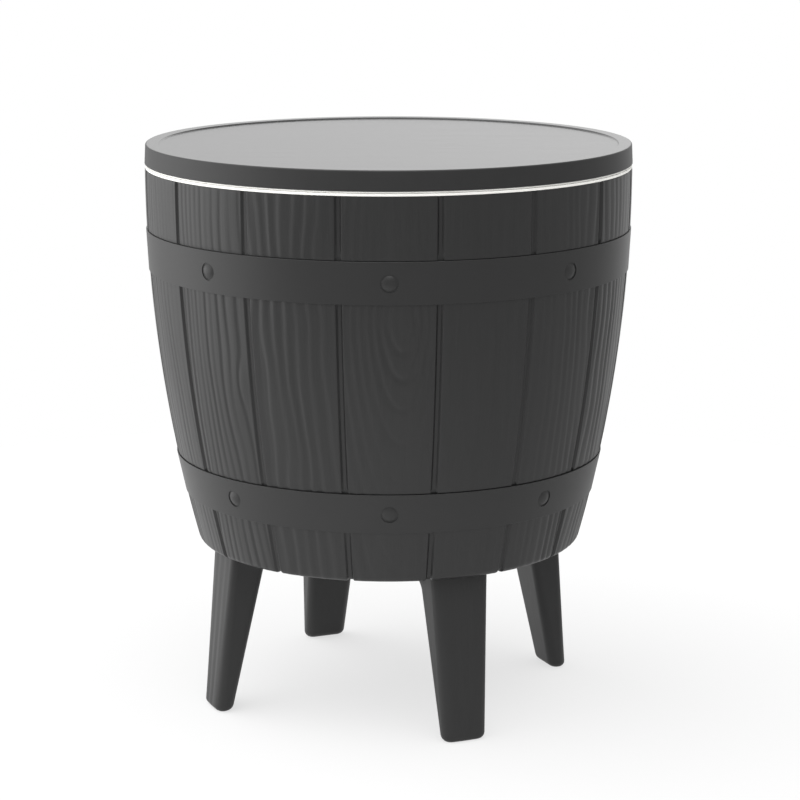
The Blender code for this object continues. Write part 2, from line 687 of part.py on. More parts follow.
def leg_point(angle, radius, side):
    """A point at a radius along a leg's azimuth and a distance to its side."""
    x, y = polar(radius, angle)
    return x + side * math.cos(angle), y + side * math.sin(angle)


def ear_screw_radius():
    """Distance of a leg's two screws from the barrel's axis."""
    return LEG_TOP_OUTER - LEG_TOP_DEPTH - EAR_LENGTH / 2


def build_legs():
    """Splayed, tapered legs with rounded edges and a screwed ear against the barrel's floor."""
    bm = bmesh.new()
    inner = LEG_TOP_OUTER - LEG_TOP_DEPTH
    foot_outer = LEG_TOP_OUTER + LEG_SPLAY
    foot_inner = foot_outer - LEG_FOOT_DEPTH
    flare = LEG_FLARE
    sections = [
        (0.0, foot_inner, foot_outer, LEG_FOOT_WIDTH),
        (LEG_HEIGHT - LEG_FLARE_HEIGHT, inner, LEG_TOP_OUTER, LEG_TOP_WIDTH),
        (LEG_HEIGHT, inner - flare, LEG_TOP_OUTER, LEG_TOP_WIDTH),
    ]
    rings = []
    for z, near, far, width in sections:
        around = ((-1, far), (1, far), (1, near), (-1, near))
        rings.append([bm.verts.new((side * width / 2, -radius, z)) for side, radius in around])
    skin(bm, rings)
    bmesh.ops.recalc_face_normals(bm, faces=bm.faces)
    uprights = [e for e in bm.edges if abs(e.verts[0].co.z - e.verts[1].co.z) > LEG_FLARE_HEIGHT / 2]
    bmesh.ops.bevel(bm, geom=uprights, offset=LEG_EDGE, segments=2, profile=0.5, affect="EDGES")
    sole = [e for e in bm.edges if max(v.co.z for v in e.verts) < 1e-5]
    bmesh.ops.bevel(bm, geom=sole, offset=LEG_SOLE_EDGE, segments=2, profile=0.5, affect="EDGES")
    first = place("leg_1", bm, "charcoal", 50.0)

    ear = bmesh.new()
    block(ear, (-EAR_WIDTH / 2, -inner - LEG_TOP_DEPTH / 3, LEG_HEIGHT - EAR_THICK),
          (EAR_WIDTH / 2, -inner + EAR_LENGTH, LEG_HEIGHT))
    ends = [e for e in ear.edges if abs(e.verts[0].co.z - e.verts[1].co.z) > EAR_THICK / 2
            and e.verts[0].co.y > -inner]
    bmesh.ops.bevel(ear, geom=ends, offset=EAR_LENGTH * 0.3, segments=2, profile=0.5, affect="EDGES")
    combine(first, tool("leg_ear", ear), "UNION")
    holes = bmesh.new()
    for side in (-1, 1):
        cylinder(holes, bore(SCREW_RADIUS, SCREW_SEGMENTS), LEG_HEIGHT - EAR_THICK - 0.002,
                 LEG_HEIGHT + 0.002, SCREW_SEGMENTS, (side * EAR_SCREW_SPREAD / 2, -ear_screw_radius()))
    combine(first, tool("leg_ear_holes", holes), "DIFFERENCE")
    settle(first)

    screw = None
    for number, angle in enumerate(leg_angles(), 1):
        leg = first if number == 1 else copy_of(first, f"leg_{number}")
        leg.rotation_euler = (0, 0, angle)
        for side in (-1, 1):
            name = f"leg_{number}_screw_{'ab'[side > 0]}"
            if screw is None:
                screw = build_screw(name, EAR_THICK + 2 * GAP + EAR_SCREW_BITE)
                piece = screw
            else:
                piece = copy_of(screw, name)
            spot = leg_point(angle, ear_screw_radius(), side * EAR_SCREW_SPREAD / 2)
            piece.location = (*spot, LEG_HEIGHT - EAR_THICK - GAP)


# Drain
def build_drain():
    """Spout through both floors, its nut, and a screw cap with its sealing ring."""
    axis = empty("drain_axis", (0.0, DRAIN_OFFSET, 0.0))
    end = Z_BARREL - SPOUT_DROP
    seat = Z_LINER_FLOOR + GAP
    brim = SPOUT_RADIUS + SPOUT_BRIM
    spout = [
        (brim, seat + SPOUT_FLANGE), (brim, seat), (SPOUT_RADIUS, seat),
        (SPOUT_RADIUS, end), (SPOUT_BORE, end), (SPOUT_BORE, seat + SPOUT_FLANGE),
    ]
    pieces = [place("drain_spout", turned(spout, DRAIN_SEGMENTS), "white")]

    clear = bore(SPOUT_RADIUS, DRAIN_SEGMENTS)
    nut_top = Z_BARREL - GAP
    nut = bmesh.new()
    cylinder(nut, clear + NUT_WALL, nut_top - NUT_HEIGHT, nut_top, 6)
    nut_body = place("drain_nut", nut, "white")
    nut_hole = bmesh.new()
    cylinder(nut_hole, clear, nut_top - NUT_HEIGHT - 0.002, nut_top + 0.002, DRAIN_SEGMENTS)
    nut_tool = tool("nut_hole", nut_hole)
    nut_tool.location = axis.location
    combine(nut_body, nut_tool, "DIFFERENCE")
    pieces.append(nut_body)

    seal_top = end - GAP
    seal_low = seal_top - SEAL_THICK
    seal_radius = SPOUT_RADIUS - GAP
    seal_bore = SPOUT_BORE - SEAL_LIP
    ring = [(seal_radius, seal_top), (seal_radius, seal_low), (seal_bore, seal_low), (seal_bore, seal_top)]
    pieces.append(place("drain_seal", turned(ring, DRAIN_SEGMENTS), "rubber"))

    cap_top = nut_top - NUT_HEIGHT - GAP
    cap_seat = seal_low - GAP
    cap_low = cap_seat - CAP_FLOOR
    cap_radius = clear + CAP_WALL
    cup = [
        (0.0, cap_seat), (clear, cap_seat), (clear, cap_top), (cap_radius, cap_top),
        (cap_radius, cap_low + CAP_EDGE), (cap_radius - CAP_EDGE, cap_low), (0.0, cap_low),
    ]
    cap = place("drain_cap", turned(cup, DRAIN_SEGMENTS, closed=False), "white")
    grip = bmesh.new()
    reach = cap_radius * 0.8
    block(grip, (-reach, -CAP_GRIP_WIDTH / 2, cap_low - CAP_GRIP_HEIGHT),
          (reach, CAP_GRIP_WIDTH / 2, cap_low + CAP_FLOOR / 2))
    grip_tool = tool("cap_grip", grip)
    grip_tool.location = axis.location
    combine(cap, grip_tool, "UNION")
    pieces.append(cap)
    for piece in pieces:
        piece.parent = axis


# Assembly
build_barrel()
build_hoops()
build_rivets()
build_liner()
build_sleeve()
build_legs()
build_drain()

lift_axis = empty("lift_axis", (0.0, 0.0, 0.0))
turn_axis = empty("turn_axis", (0.0, 0.0, 0.0))
turn_axis.parent = lift_axis
carry(lift_axis, build_bush())
carry(turn_axis, build_table_top(), build_underside(), *build_pole_group())

head_bite = HEAD_FLANGE + UNDER_PLATE + 3 * GAP + HEAD_SCREW_BITE
head_screw = None
for number, spot in enumerate(head_screw_spots(), 1):
    if head_screw is None:
        head_screw = build_screw(f"head_screw_{number}", head_bite)
        piece = head_screw
    else:
        piece = copy_of(head_screw, f"head_screw_{number}")
    piece.location = (*spot, Z_HEAD - GAP)
    carry(turn_axis, piece)

print(f"lift {LIFT:.4f} m, seat {HOOP_SEAT:.4f} m, groove {GROOVE_DEPTH:.4f} m")
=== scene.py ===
import math

import bmesh
import bpy
from bpy.props import FloatProperty, FloatVectorProperty, IntProperty, PointerProperty
from mathutils import Matrix, Vector, noise


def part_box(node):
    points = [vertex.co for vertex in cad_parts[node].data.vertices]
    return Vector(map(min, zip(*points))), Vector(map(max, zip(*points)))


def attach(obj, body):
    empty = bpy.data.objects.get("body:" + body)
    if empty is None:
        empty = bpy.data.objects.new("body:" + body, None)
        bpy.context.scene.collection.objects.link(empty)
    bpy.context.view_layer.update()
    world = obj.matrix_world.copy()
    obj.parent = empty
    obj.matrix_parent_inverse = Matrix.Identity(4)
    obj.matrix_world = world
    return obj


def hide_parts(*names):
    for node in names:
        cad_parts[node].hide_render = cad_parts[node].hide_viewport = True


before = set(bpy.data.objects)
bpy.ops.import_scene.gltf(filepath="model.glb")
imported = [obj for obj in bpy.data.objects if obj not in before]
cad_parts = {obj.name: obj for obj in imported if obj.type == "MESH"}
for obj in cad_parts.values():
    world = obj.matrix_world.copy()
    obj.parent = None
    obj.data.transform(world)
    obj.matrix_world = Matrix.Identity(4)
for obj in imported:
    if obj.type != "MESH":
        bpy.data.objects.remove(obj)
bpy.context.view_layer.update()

bl_info = {
    "name": "Cooler table",
    "version": (1, 0, 0),
    "blender": (4, 5, 0),
    "location": "3D View > Sidebar > Cooler table",
    "description": "Barrel-shaped drinks cooler with a lifting table top, on its packed frame",
    "category": "Object",
}

# Places that the packed solids give, and the gap between pieces that sit on each other
TOP_LOW, TOP_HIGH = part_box("table_top")
BARREL_LOW, BARREL_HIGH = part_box("barrel_shell")
LINER_LOW, LINER_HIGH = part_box("bucket_liner")
HOOPS = {name: [corner.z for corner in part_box(name)] for name in ("upper_hoop", "lower_hoop")}
LEG_SCREWS = [f"leg_{leg}_screw_{side}" for leg in (1, 2, 3, 4) for side in "ab"]
HEAD_SCREWS = [f"head_screw_{number}" for number in (1, 2, 3, 4)]
CLEARANCE = BARREL_LOW.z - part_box("leg_1")[1].z

# Steps of a full turn: the widest rings, the barrel's and bucket's walls, the pole's head and
# collar, the pole and the drain's cap, the drain and the pockets, the rivets, and the screws
WIDE, BODY, HEAD, TUBE, DRAIN, RIVET, SCREW = 256, 192, 96, 64, 48, 40, 24

# Staves: face cells along each coarse cell, rows under, between and over the hoops, reach under
# the barrel, and the small steps beside a hoop's seat
FINE = 6
ROWS = (17, 104, 33)
BED_INSET = 0.0045
SEAT_ROOM = 0.00004
SEAT_STEP = 0.00003
SOFT_END = 0.00025

# Details too small to be a setting, and lengths of the rods that cut through
LEG_INSET = 0.0130
BOSS_RADIUS = 0.0066
SKIRT_EASE = 0.0017
HEAD_CAP = 0.0025
THROUGH_POLE = 0.08
THROUGH_BARREL = 0.04
THROUGH_BUCKET = 0.03
THROUGH_NUT = 0.02
COLLAR_EASE = 0.0005
SEAL_LIP = 0.0020
CROSS_HALF = 0.0005
GRIP_HALF = 0.0025

# Stage: the azimuth the camera looks along, its place, its tilt under the level, and the floor
AWAY = math.radians(22.115)
CAMERA_PLACE = (1.0039, -2.4399, 0.8713)
CAMERA_TILT = 0.2103
FLOOR_RADIUS = 1.25


def size(name, description, default):
    """A length that the user may change."""
    return FloatProperty(name=name, description=description, default=default, min=0.0, max=1.0,
                         precision=4, unit="LENGTH", subtype="DISTANCE")


def tint(name, description, default):
    """A colour that the user may change."""
    return FloatVectorProperty(name=name, description=description, default=default, size=3, min=0.0,
                               max=1.0, subtype="COLOR")


def share(name, description, default, high=1.0):
    """A plain number that the user may change."""
    return FloatProperty(name=name, description=description, default=default, min=0.0, max=high,
                         precision=3)


class CoolerBarrelSizes(bpy.types.PropertyGroup):
    """Sizes of the staved barrel."""

    staves: IntProperty(name="Staves", description="Number of boards round the barrel", default=16,
                        min=8, max=32)
    radius: size("Widest radius", "Radius of the staves where they are widest", TOP_HIGH.x - 0.0002)
    foot_radius: size("Foot radius", "Radius of the staves' arc at the barrel's foot", 0.1974)
    mouth_drop: size("Mouth drop", "How far the mouth stays below the packed shell's", 0.0004)
    below_mouth: size("Widest below mouth", "Height of the mouth over the widest level", 0.0066)
    foot_round: size("Foot rounding", "Radius of the rounded foot", 0.0072)
    wall: size("Wall", "Thickness of the barrel's wall", 0.0046)
    floor: size("Floor", "Thickness of the barrel's floor", 0.006)
    groove: size("Groove width", "Width of a groove between two staves at the face", 0.0060)
    groove_floor: size("Groove floor", "Width of a groove at its floor", 0.0024)
    groove_depth: size("Groove depth", "Depth of a groove under the face", 0.0022)
    edge: size("Stave edge", "Rounding of a stave's long edges", 0.0008)
    relief: size("Grain relief", "Deepest hollow of the moulded wood grain", 0.00084)
    hoop_gap: size("Gap over hoop", "Gap between a hoop and the staves over it", 0.0007)


class CoolerHoopSizes(bpy.types.PropertyGroup):
    """Sizes of the hoops and their rivets."""

    proud: size("Proud", "Height of a hoop's face over the staves", 0.0009)
    thick: size("Thickness", "Thickness of a hoop", 0.0022)
    edge: size("Edge", "Rounding of a hoop's edges", 0.0003)
    rivets: IntProperty(name="Rivets", description="Rivets on each hoop", default=8, min=0, max=32)
    rivet_radius: size("Rivet radius", "Radius of a rivet's head", 0.0076)
    rivet_rise: size("Rivet rise", "Height of a rivet's dome", 0.0018)
    pocket: size("Pocket radius", "Radius of the round pocket that a rivet sits in", 0.0087)
    pocket_depth: size("Pocket depth", "Depth of a rivet's pocket", 0.0008)


class CoolerTopSizes(bpy.types.PropertyGroup):
    """Sizes of the table top."""

    draft: size("Edge draft", "Narrowing of the edge from its foot to its rim", 0.0010)
    rim: size("Rim width", "Width of the raised rim", 0.0140)
    recess: size("Recess", "Depth of the panel under the rim", 0.0013)
    wall: size("Wall", "Thickness of the tray", 0.0030)
    soft: size("Rounding", "Rounding of the rim's outer edge", 0.0014)
    under_edge: size("White edge", "Height of the white shell's edge", 0.0016)
    plate: size("Plate", "Thickness of the white shell", 0.0032)
    skirt_wall: size("Skirt wall", "Thickness of the skirt", 0.0030)


class CoolerBucketSizes(bpy.types.PropertyGroup):
    """Sizes of the bucket."""

    cavity: size("Cavity", "Insulating space round the bucket", 0.010)
    wall: size("Wall", "Thickness of the bucket", 0.0030)
    flange: size("Flange", "Thickness of the resting flange", 0.0025)
    round: size("Foot rounding", "Radius between the bucket's wall and floor", 0.022)
    socket: size("Socket height", "Height of the guide sleeve's socket", 0.018)
    socket_wall: size("Socket wall", "Thickness of the socket", 0.003)


class CoolerLegSizes(bpy.types.PropertyGroup):
    """Sizes of the four legs."""

    top_depth: size("Depth at top", "Radial depth of a leg at its top", 0.0392)
    top_width: size("Width at top", "Width of a leg at its top", 0.0604)
    splay: size("Splay", "Outward reach of a leg's foot past its top", 0.0164)
    foot_depth: size("Depth at foot", "Radial depth of a leg at the floor", 0.0196)
    foot_width: size("Width at foot", "Width of a leg at the floor", 0.0452)
    edge: size("Edge at top", "Rounding of a leg's upright edges at its top", 0.0066)
    foot_edge: size("Edge at foot", "Rounding of a leg's upright edges at the floor", 0.0094)
    sole: size("Sole edge", "Rounding round a leg's sole", 0.0064)
    crown: size("Crown", "Bulge of a leg's outer face", 0.0008)
    flute: size("Flute depth", "Depth of the flutes down a leg's outer face", 0.00038)
    fillet: size("Fillet reach", "Reach of the fillet between a leg and the barrel", 0.0070)
    fillet_height: size("Fillet height", "Height of that fillet", 0.0200)
    ear_length: size("Ear length", "Length of the screwed ear", 0.020)
    ear_width: size("Ear width", "Width of the screwed ear", 0.044)
    ear_thick: size("Ear thickness", "Thickness of the screwed ear", 0.004)


class CoolerFittingSizes(bpy.types.PropertyGroup):
    """Sizes of the pole's fittings, the drain and the screws."""

    pole: size("Pole radius", "Outer radius of the lifting pole", 0.0150)
    pole_wall: size("Pole wall", "Thickness of the lifting pole", 0.0025)
    head_flange: size("Head flange", "Thickness of the pole head's flange", 0.0047)
    hub_wall: size("Hub wall", "Thickness of the pole head's hub", 0.006)
    collar_lip: size("Collar lip", "Thickness of the collar's lip", 0.004)
    spout: size("Spout radius", "Outer radius of the drain spout", 0.0120)
    spout_wall: size("Spout wall", "Thickness of the drain spout", 0.0030)
    spout_flange: size("Spout flange", "Thickness of the spout's brim in the bucket", 0.0024)
    cap_wall: size("Cap wall", "Thickness of the drain cap's wall", 0.0046)
    cap_floor: size("Cap floor", "Thickness of the drain cap's floor", 0.0035)
    cap_grip: size("Cap grip", "Height of the drain cap's finger grip", 0.006)
    screw: size("Screw radius", "Radius of a screw's shank", 0.0023)
    screw_head: size("Screw head radius", "Radius of a screw's head", 0.0045)
    screw_rise: size("Screw head", "Height of a screw's head", 0.0030)


class CoolerFinishes(bpy.types.PropertyGroup):
    """Colours of the finishes."""

    charcoal: tint("Charcoal", "Dark resin of the barrel, hoops, legs and top", (0.0135,) * 3)
    white: tint("White", "White resin of the bucket and the lower shell", (0.91, 0.903, 0.864))
    grey: tint("Grey", "Grey resin of the pole and its fittings", (0.28, 0.28, 0.29))
    steel: tint("Steel", "Plated steel of the screws and pins", (0.55, 0.55, 0.55))
    rubber: tint("Rubber", "Black rubber of the sealing ring", (0.020, 0.020, 0.021))
    gloss: share("Roughness", "Roughness of the charcoal resin", 0.42)


class CoolerStudio(bpy.types.PropertyGroup):
    """Light, floor and camera."""

    around: share("Light around", "Brightness of the studio near the horizon", 0.22, 4.0)
    above: share("Light above", "Extra brightness overhead", 1.25, 4.0)
    left: share("Light at left", "Brightness of the big soft light at the left", 2.3, 20.0)
    front: share("Light in front", "Extra brightness low in front", 0.36, 4.0)
    over: share("Light over front", "Brightness of the soft light high in front", 1.80, 20.0)
    right: share("Light at right", "Extra brightness low at the right", 0.34, 4.0)
    floor: tint("Floor", "Colour of the floor", (0.80, 0.80, 0.80))
    wash: share("Shadow wash", "How far the floor's shadow is washed out for the camera", 0.74)
    lens: FloatProperty(name="Lens", description="Focal length on a 36 mm sensor", default=116.949,
                        min=10.0, max=500.0, unit="CAMERA")


SETTINGS = {
    "cooler_barrel": CoolerBarrelSizes,
    "cooler_hoops": CoolerHoopSizes,
    "cooler_top": CoolerTopSizes,
    "cooler_bucket": CoolerBucketSizes,
    "cooler_legs": CoolerLegSizes,
    "cooler_fittings": CoolerFittingSizes,
    "cooler_finishes": CoolerFinishes,
    "cooler_studio": CoolerStudio,
}


# Shaders
class Wire:
    """A value on its way through a node tree. Arithmetic on it adds Math nodes."""

    def __init__(self, tree, socket=None):
        self.tree = tree
        self.socket = socket

    def node(self, kind, settings=None, inputs=None, output=0):
        """Add any node: its settings first, then the values or links of its sockets."""
        made = self.tree.nodes.new(kind)
        for key, value in (settings or {}).items():
            setattr(made, key, value)
        for key, value in (inputs or {}).items():
            if isinstance(value, Wire):
                self.tree.links.new(value.socket, made.inputs[key])
            else:
                made.inputs[key].default_value = value
        return Wire(self.tree, made.outputs[output])

    def math(self, operation, *others, clamp=False):
        """Any Math node on this value."""
        return self.node("ShaderNodeMath", {"operation": operation, "use_clamp": clamp},
                         dict(enumerate((self, *others))))

    def __add__(self, other):
        return self.math("ADD", other)

    __radd__ = __add__

    def __mul__(self, other):
        return self.math("MULTIPLY", other)

    __rmul__ = __mul__

    def __sub__(self, other):
        return self.math("SUBTRACT", other)

    def __rsub__(self, other):
        return (self * -1.0) + other

    def step(self, low, high):
        """Smooth climb from 0 at one value to 1 at another."""
        return self.node("ShaderNodeMapRange", {"interpolation_type": "SMOOTHSTEP"},
                         {0: self, 1: low, 2: high, 3: 0.0, 4: 1.0})

    def blend(self, first, second):
        """Mix two colours by this value."""
        return self.node("ShaderNodeMix", {"data_type": "RGBA"}, {0: self, 6: first, 7: second}, 2)

    def split(self):
        """The X, Y and Z of this vector."""
        parts = self.tree.nodes.new("ShaderNodeSeparateXYZ")
        self.tree.links.new(self.socket, parts.inputs[0])
        return [Wire(self.tree, socket) for socket in parts.outputs]

    def stretch(self, x, y, z):
        """This vector scaled along its three axes."""
        return self.node("ShaderNodeVectorMath", {"operation": "MULTIPLY"}, {0: self, 1: (x, y, z)})

    def noise(self, detail, roughness):
        """Fractal noise over this vector, from 0 to 1."""
        return self.node("ShaderNodeTexNoise", None,
                         {"Vector": self, "Scale": 1.0, "Detail": detail, "Roughness": roughness})

    def bump(self, height):
        """A normal from a height in metres."""
        return self.node("ShaderNodeBump", None,
                         {"Strength": 1.0, "Distance": 1.0, "Height": height})


def new_finish(name, colour, roughness, metallic=0.0):
    """A material with a Principled shader, its tree as a wire, and the shader."""
    material = bpy.data.materials.new(name)
    material.use_nodes = True
    shader = material.node_tree.nodes["Principled BSDF"]
    shader.inputs["Base Color"].default_value = (*colour, 1.0)
    shader.inputs["Roughness"].default_value = roughness
    shader.inputs["Metallic"].default_value = metallic
    return material, Wire(material.node_tree), shader


def feed(wire, shader, **values):
    """Link wires to the shader's sockets."""
    for name, value in values.items():
        wire.tree.links.new(value.socket, shader.inputs[name.replace("_", " ")])


def vary(mask, colour, *factors):
    """A colour that goes from one factor of itself to another as a mask goes from 0 to 1."""
    return mask.blend(*((*(min(1.0, part * factor) for part in colour), 1.0) for factor in factors))


def stave_resin(finishes):
    """Dark resin moulded like planed wood: fibres along the stave over the relief in the mesh."""
    material, wire, shader = new_finish("stave_resin", finishes.charcoal, finishes.gloss)
    place = wire.node("ShaderNodeUVMap", {"uv_map": "grain"})
    fibre = place.stretch(620.0, 22.0, 1.0).noise(2.0, 0.6)
    streak = place.stretch(150.0, 7.0, 1.0).noise(2.0, 0.5)
    pores = place.stretch(1500.0, 90.0, 1.0).noise(1.0, 0.5).step(0.60, 0.74)
    tone = fibre * 0.5 + streak * 0.5
    colour = vary(tone.step(0.3, 0.7), finishes.charcoal, 0.88, 1.12)
    rough = tone * 0.16 + (finishes.gloss - 0.08)
    height = fibre * 0.00006 + streak * 0.00016 - pores * 0.00003
    feed(wire, shader, Base_Color=colour, Roughness=rough, Normal=wire.bump(height))
    return material


def panel_resin(finishes):
    """Dark resin of the tray, with flat-sawn grain across the whole panel."""
    material, wire, shader = new_finish("panel_resin", finishes.charcoal, finishes.gloss - 0.17)
    place = wire.node("ShaderNodeTexCoord", output=3)
    boards = wire.node("ShaderNodeMapping", None,
                       {"Vector": place, "Rotation": (0.0, 0.0, math.radians(-22.0))})
    fibre = boards.stretch(22.0, 700.0, 60.0).noise(3.0, 0.6)
    streak = boards.stretch(6.0, 150.0, 60.0).noise(2.0, 0.5)
    bend = boards.stretch(5.0, 14.0, 1.0).noise(2.0, 0.5)
    along, across, _ = boards.split()
    lens = (along * along * 0.10 + across * across).math("SQRT")
    waves = ((lens + bend * 0.030) * (math.tau / 0.012)).math("SINE")
    rings = waves * lens.math("MULTIPLY_ADD", -7.0, 1.0, clamp=True)
    tone = fibre * 0.5 + streak * 0.5
    colour = vary(tone.step(0.3, 0.7), finishes.charcoal, 0.92, 1.08)
    x, y, _ = place.split()
    edge = (x * x + y * y).math("SQRT").step(TOP_HIGH.x - 0.0028, TOP_HIGH.x - 0.0012)
    rough = tone * 0.06 + edge * 0.32 + (finishes.gloss - 0.27)
    feed(wire, shader, Base_Color=colour, Roughness=rough,
         Normal=wire.bump(fibre * 0.00003 + streak * 0.00006 + rings * 0.00003))
    return material


def moulded_resin(name, tone, roughness, grit=0.00002, brushed=False, uneven=0.04):
    """Plain moulded resin with a fine-eroded skin, drawn downwards if brushed."""
    material, wire, shader = new_finish(name, tone, roughness)
    place = wire.node("ShaderNodeTexCoord", output=3)
    drawn = (300.0, 300.0, 9.0) if brushed else (900.0, 900.0, 900.0)
    skin = place.stretch(*drawn).noise(2.0, 0.6)
    cloud = place.stretch(14.0, 14.0, 14.0).noise(2.0, 0.5)
    colour = vary(cloud.step(0.3, 0.7), tone, 1.0 - uneven, 1.0 + uneven)
    rough = skin * 0.08 + (roughness - 0.04)
    feed(wire, shader, Base_Color=colour, Roughness=rough, Normal=wire.bump(skin * grit))
    return material


def leg_resin(finishes):
    """The dark resin with the duller skin of the legs."""
    material = moulded_resin("leg_resin", finishes.charcoal, finishes.gloss + 0.04, 0.00012, True)
    material.node_tree.nodes["Principled BSDF"].inputs["Specular IOR Level"].default_value = 0.45
    return material


def plated_steel(finishes):
    """Zinc-plated steel with fine turning marks."""
    material, wire, shader = new_finish("plated_steel", finishes.steel, 0.32, 1.0)
    place = wire.node("ShaderNodeTexCoord", output=3)
    cloud = place.stretch(500.0, 500.0, 2500.0).noise(2.0, 0.5)
    colour = vary(cloud, finishes.steel, 0.85, 1.12)
    feed(wire, shader, Base_Color=colour, Roughness=cloud * 0.2 + 0.22)
    return material


# Each finish: the record's slot that it stands for, and what makes it
FINISHES = {
    "stave_resin": ("charcoal_resin", stave_resin),
    "panel_resin": ("charcoal_resin", panel_resin),
    "leg_resin": ("charcoal_resin", leg_resin),
    "plated_steel": ("steel", plated_steel),
    "hoop_resin": ("charcoal_resin", lambda finishes: moulded_resin(
        "hoop_resin", finishes.charcoal, finishes.gloss)),
    "bucket_resin": ("white_resin", lambda finishes: moulded_resin(
        "bucket_resin", finishes.white, 0.40, uneven=0.006)),
    "pole_resin": ("grey_resin", lambda finishes: moulded_resin(
        "pole_resin", finishes.grey, 0.45, uneven=0.02)),
    "seal_rubber": ("rubber", lambda finishes: moulded_resin(
        "seal_rubber", finishes.rubber, 0.78)),
}


def finish_of(name):
    """One of the object's finishes, made the first time it is asked for."""
    made = bpy.data.materials.get(name)
    return made or FINISHES[name][1](bpy.context.scene.cooler_finishes)


# Shapes
def soften(shape, geom, edge, segments, affect="EDGES"):
    """Round edges, or the corners of an outline."""
    bmesh.ops.bevel(shape, geom=geom, offset=edge, offset_type="OFFSET", segments=segments,
                    profile=0.5, affect=affect, material=-1)


def turn(outline, steps):
    """Turn an outline of (radius, level, rounding) about Z; one from the axis must end there."""
    shape = bmesh.new()
    verts = [shape.verts.new((radius, 0.0, level)) for radius, level, _ in outline]
    for pair in zip(verts, verts[1:]):
        shape.edges.new(pair)
    if outline[0][0] > 0.0:
        shape.edges.new((verts[-1], verts[0]))
    for vert, (_, _, rounding) in list(zip(verts, outline)):
        if rounding > 0.0:
            soften(shape, [vert], rounding, 3 if rounding < 0.0012 else 7, "VERTICES")
    bmesh.ops.spin(shape, geom=shape.verts[:] + shape.edges[:], cent=(0, 0, 0), axis=(0, 0, 1),
                   dvec=(0, 0, 0), angle=math.tau, steps=steps, use_merge=True, use_duplicate=False)
    bmesh.ops.remove_doubles(shape, verts=shape.verts[:], dist=1e-6)
    bmesh.ops.recalc_face_normals(shape, faces=shape.faces[:])
    return shape


def rod(radius, length, matrix, steps=32):
    """A plain round rod through the origin along Z, then placed."""
    shape = bmesh.new()
    bmesh.ops.create_cone(shape, cap_ends=True, cap_tris=False, segments=steps, radius1=radius,
                          radius2=radius, depth=length, matrix=matrix)
    return shape


def block(low, high, edge=0.0):
    """A box between two corners with its edges rounded."""
    low, high = Vector(low), Vector(high)
    shape = bmesh.new()
    matrix = Matrix.Translation((low + high) / 2) @ Matrix.Diagonal((*(high - low), 1.0))
    bmesh.ops.create_cube(shape, size=1.0, matrix=matrix)
    if edge > 0.0:
        soften(shape, shape.edges[:], edge, 3)
    return shape


def mesh_of(name, shape):
    """Write a shape to a mesh and let the shape go."""
    mesh = bpy.data.meshes.new(name)
    shape.to_mesh(mesh)
    shape.free()
    return mesh


def show(name, data):
    """Add an object to the scene."""
    shown = bpy.data.objects.new(name, data)
    bpy.context.scene.collection.objects.link(shown)
    return shown


def gather(*shapes):
    """Several closed shapes in one mesh."""
    whole = bmesh.new()
    for shape in shapes:
        mesh = mesh_of("gathered", shape)
        whole.from_mesh(mesh)
        bpy.data.meshes.remove(mesh)
    return whole


def carve(shape, other, operation="DIFFERENCE"):
    """Cut a closed shape by another, or join them."""
    hosts = [show("carved", mesh_of("carved", part)) for part in (shape, other)]
    boolean = hosts[0].modifiers.new("carve", "BOOLEAN")
    boolean.operation = operation
    boolean.object = hosts[1]
    bpy.context.view_layer.update()
    done = bmesh.new()
    done.from_object(hosts[0], bpy.context.evaluated_depsgraph_get())
    for host in hosts:
        bpy.data.meshes.remove(host.data)
    return done


def place_piece(name, shape, finish, body, node=None, at=None, sharp=40.0):
    """Make a shape a finished piece that rides on a body and stands for the solid of that name."""
    if at:
        bmesh.ops.transform(shape, matrix=at, verts=shape.verts[:])
    mesh = mesh_of(name, shape)
    mesh.shade_smooth()
    mesh.set_sharp_from_angle(angle=math.radians(sharp))
    mesh.materials.append(finish_of(finish))
    piece = show(name, mesh)
    weigh = piece.modifiers.new("even_normals", "WEIGHTED_NORMAL")
    weigh.keep_sharp = True
    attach(piece, body)
    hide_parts(node or name)
    return piece


def polar(radius, azimuth):
    """A point at a radius and an azimuth that runs from -Y towards +X."""
    return radius * math.sin(azimuth), -radius * math.cos(azimuth)


def evenly(low, high, count, first=0):
    """Levels at equal steps from one to another."""
    return [low + (high - low) * part / count for part in range(first, count + 1)]


def axis_of(name, level):
    """Place of a solid's upright axis at a level."""
    low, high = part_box(name)
    return Matrix.Translation(((low.x + high.x) / 2, (low.y + high.y) / 2, level))


def drain_hole(context, level, length):
    """Rod that cuts the spout's hole through a floor."""
    radius = context.scene.cooler_fittings.spout + CLEARANCE
    return rod(radius, length, axis_of("drain_spout", level))


def pin_hole(name):
    """Rod that cuts a cross pin's hole through the pole."""
    low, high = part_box(name)
    middle = Matrix.Translation((0, 0, (low.z + high.z) / 2))
    crosswise = Matrix.Rotation(math.pi / 2, 4, "Y")
    return rod((high.z - low.z) / 2 + CLEARANCE, THROUGH_POLE, middle @ crosswise)


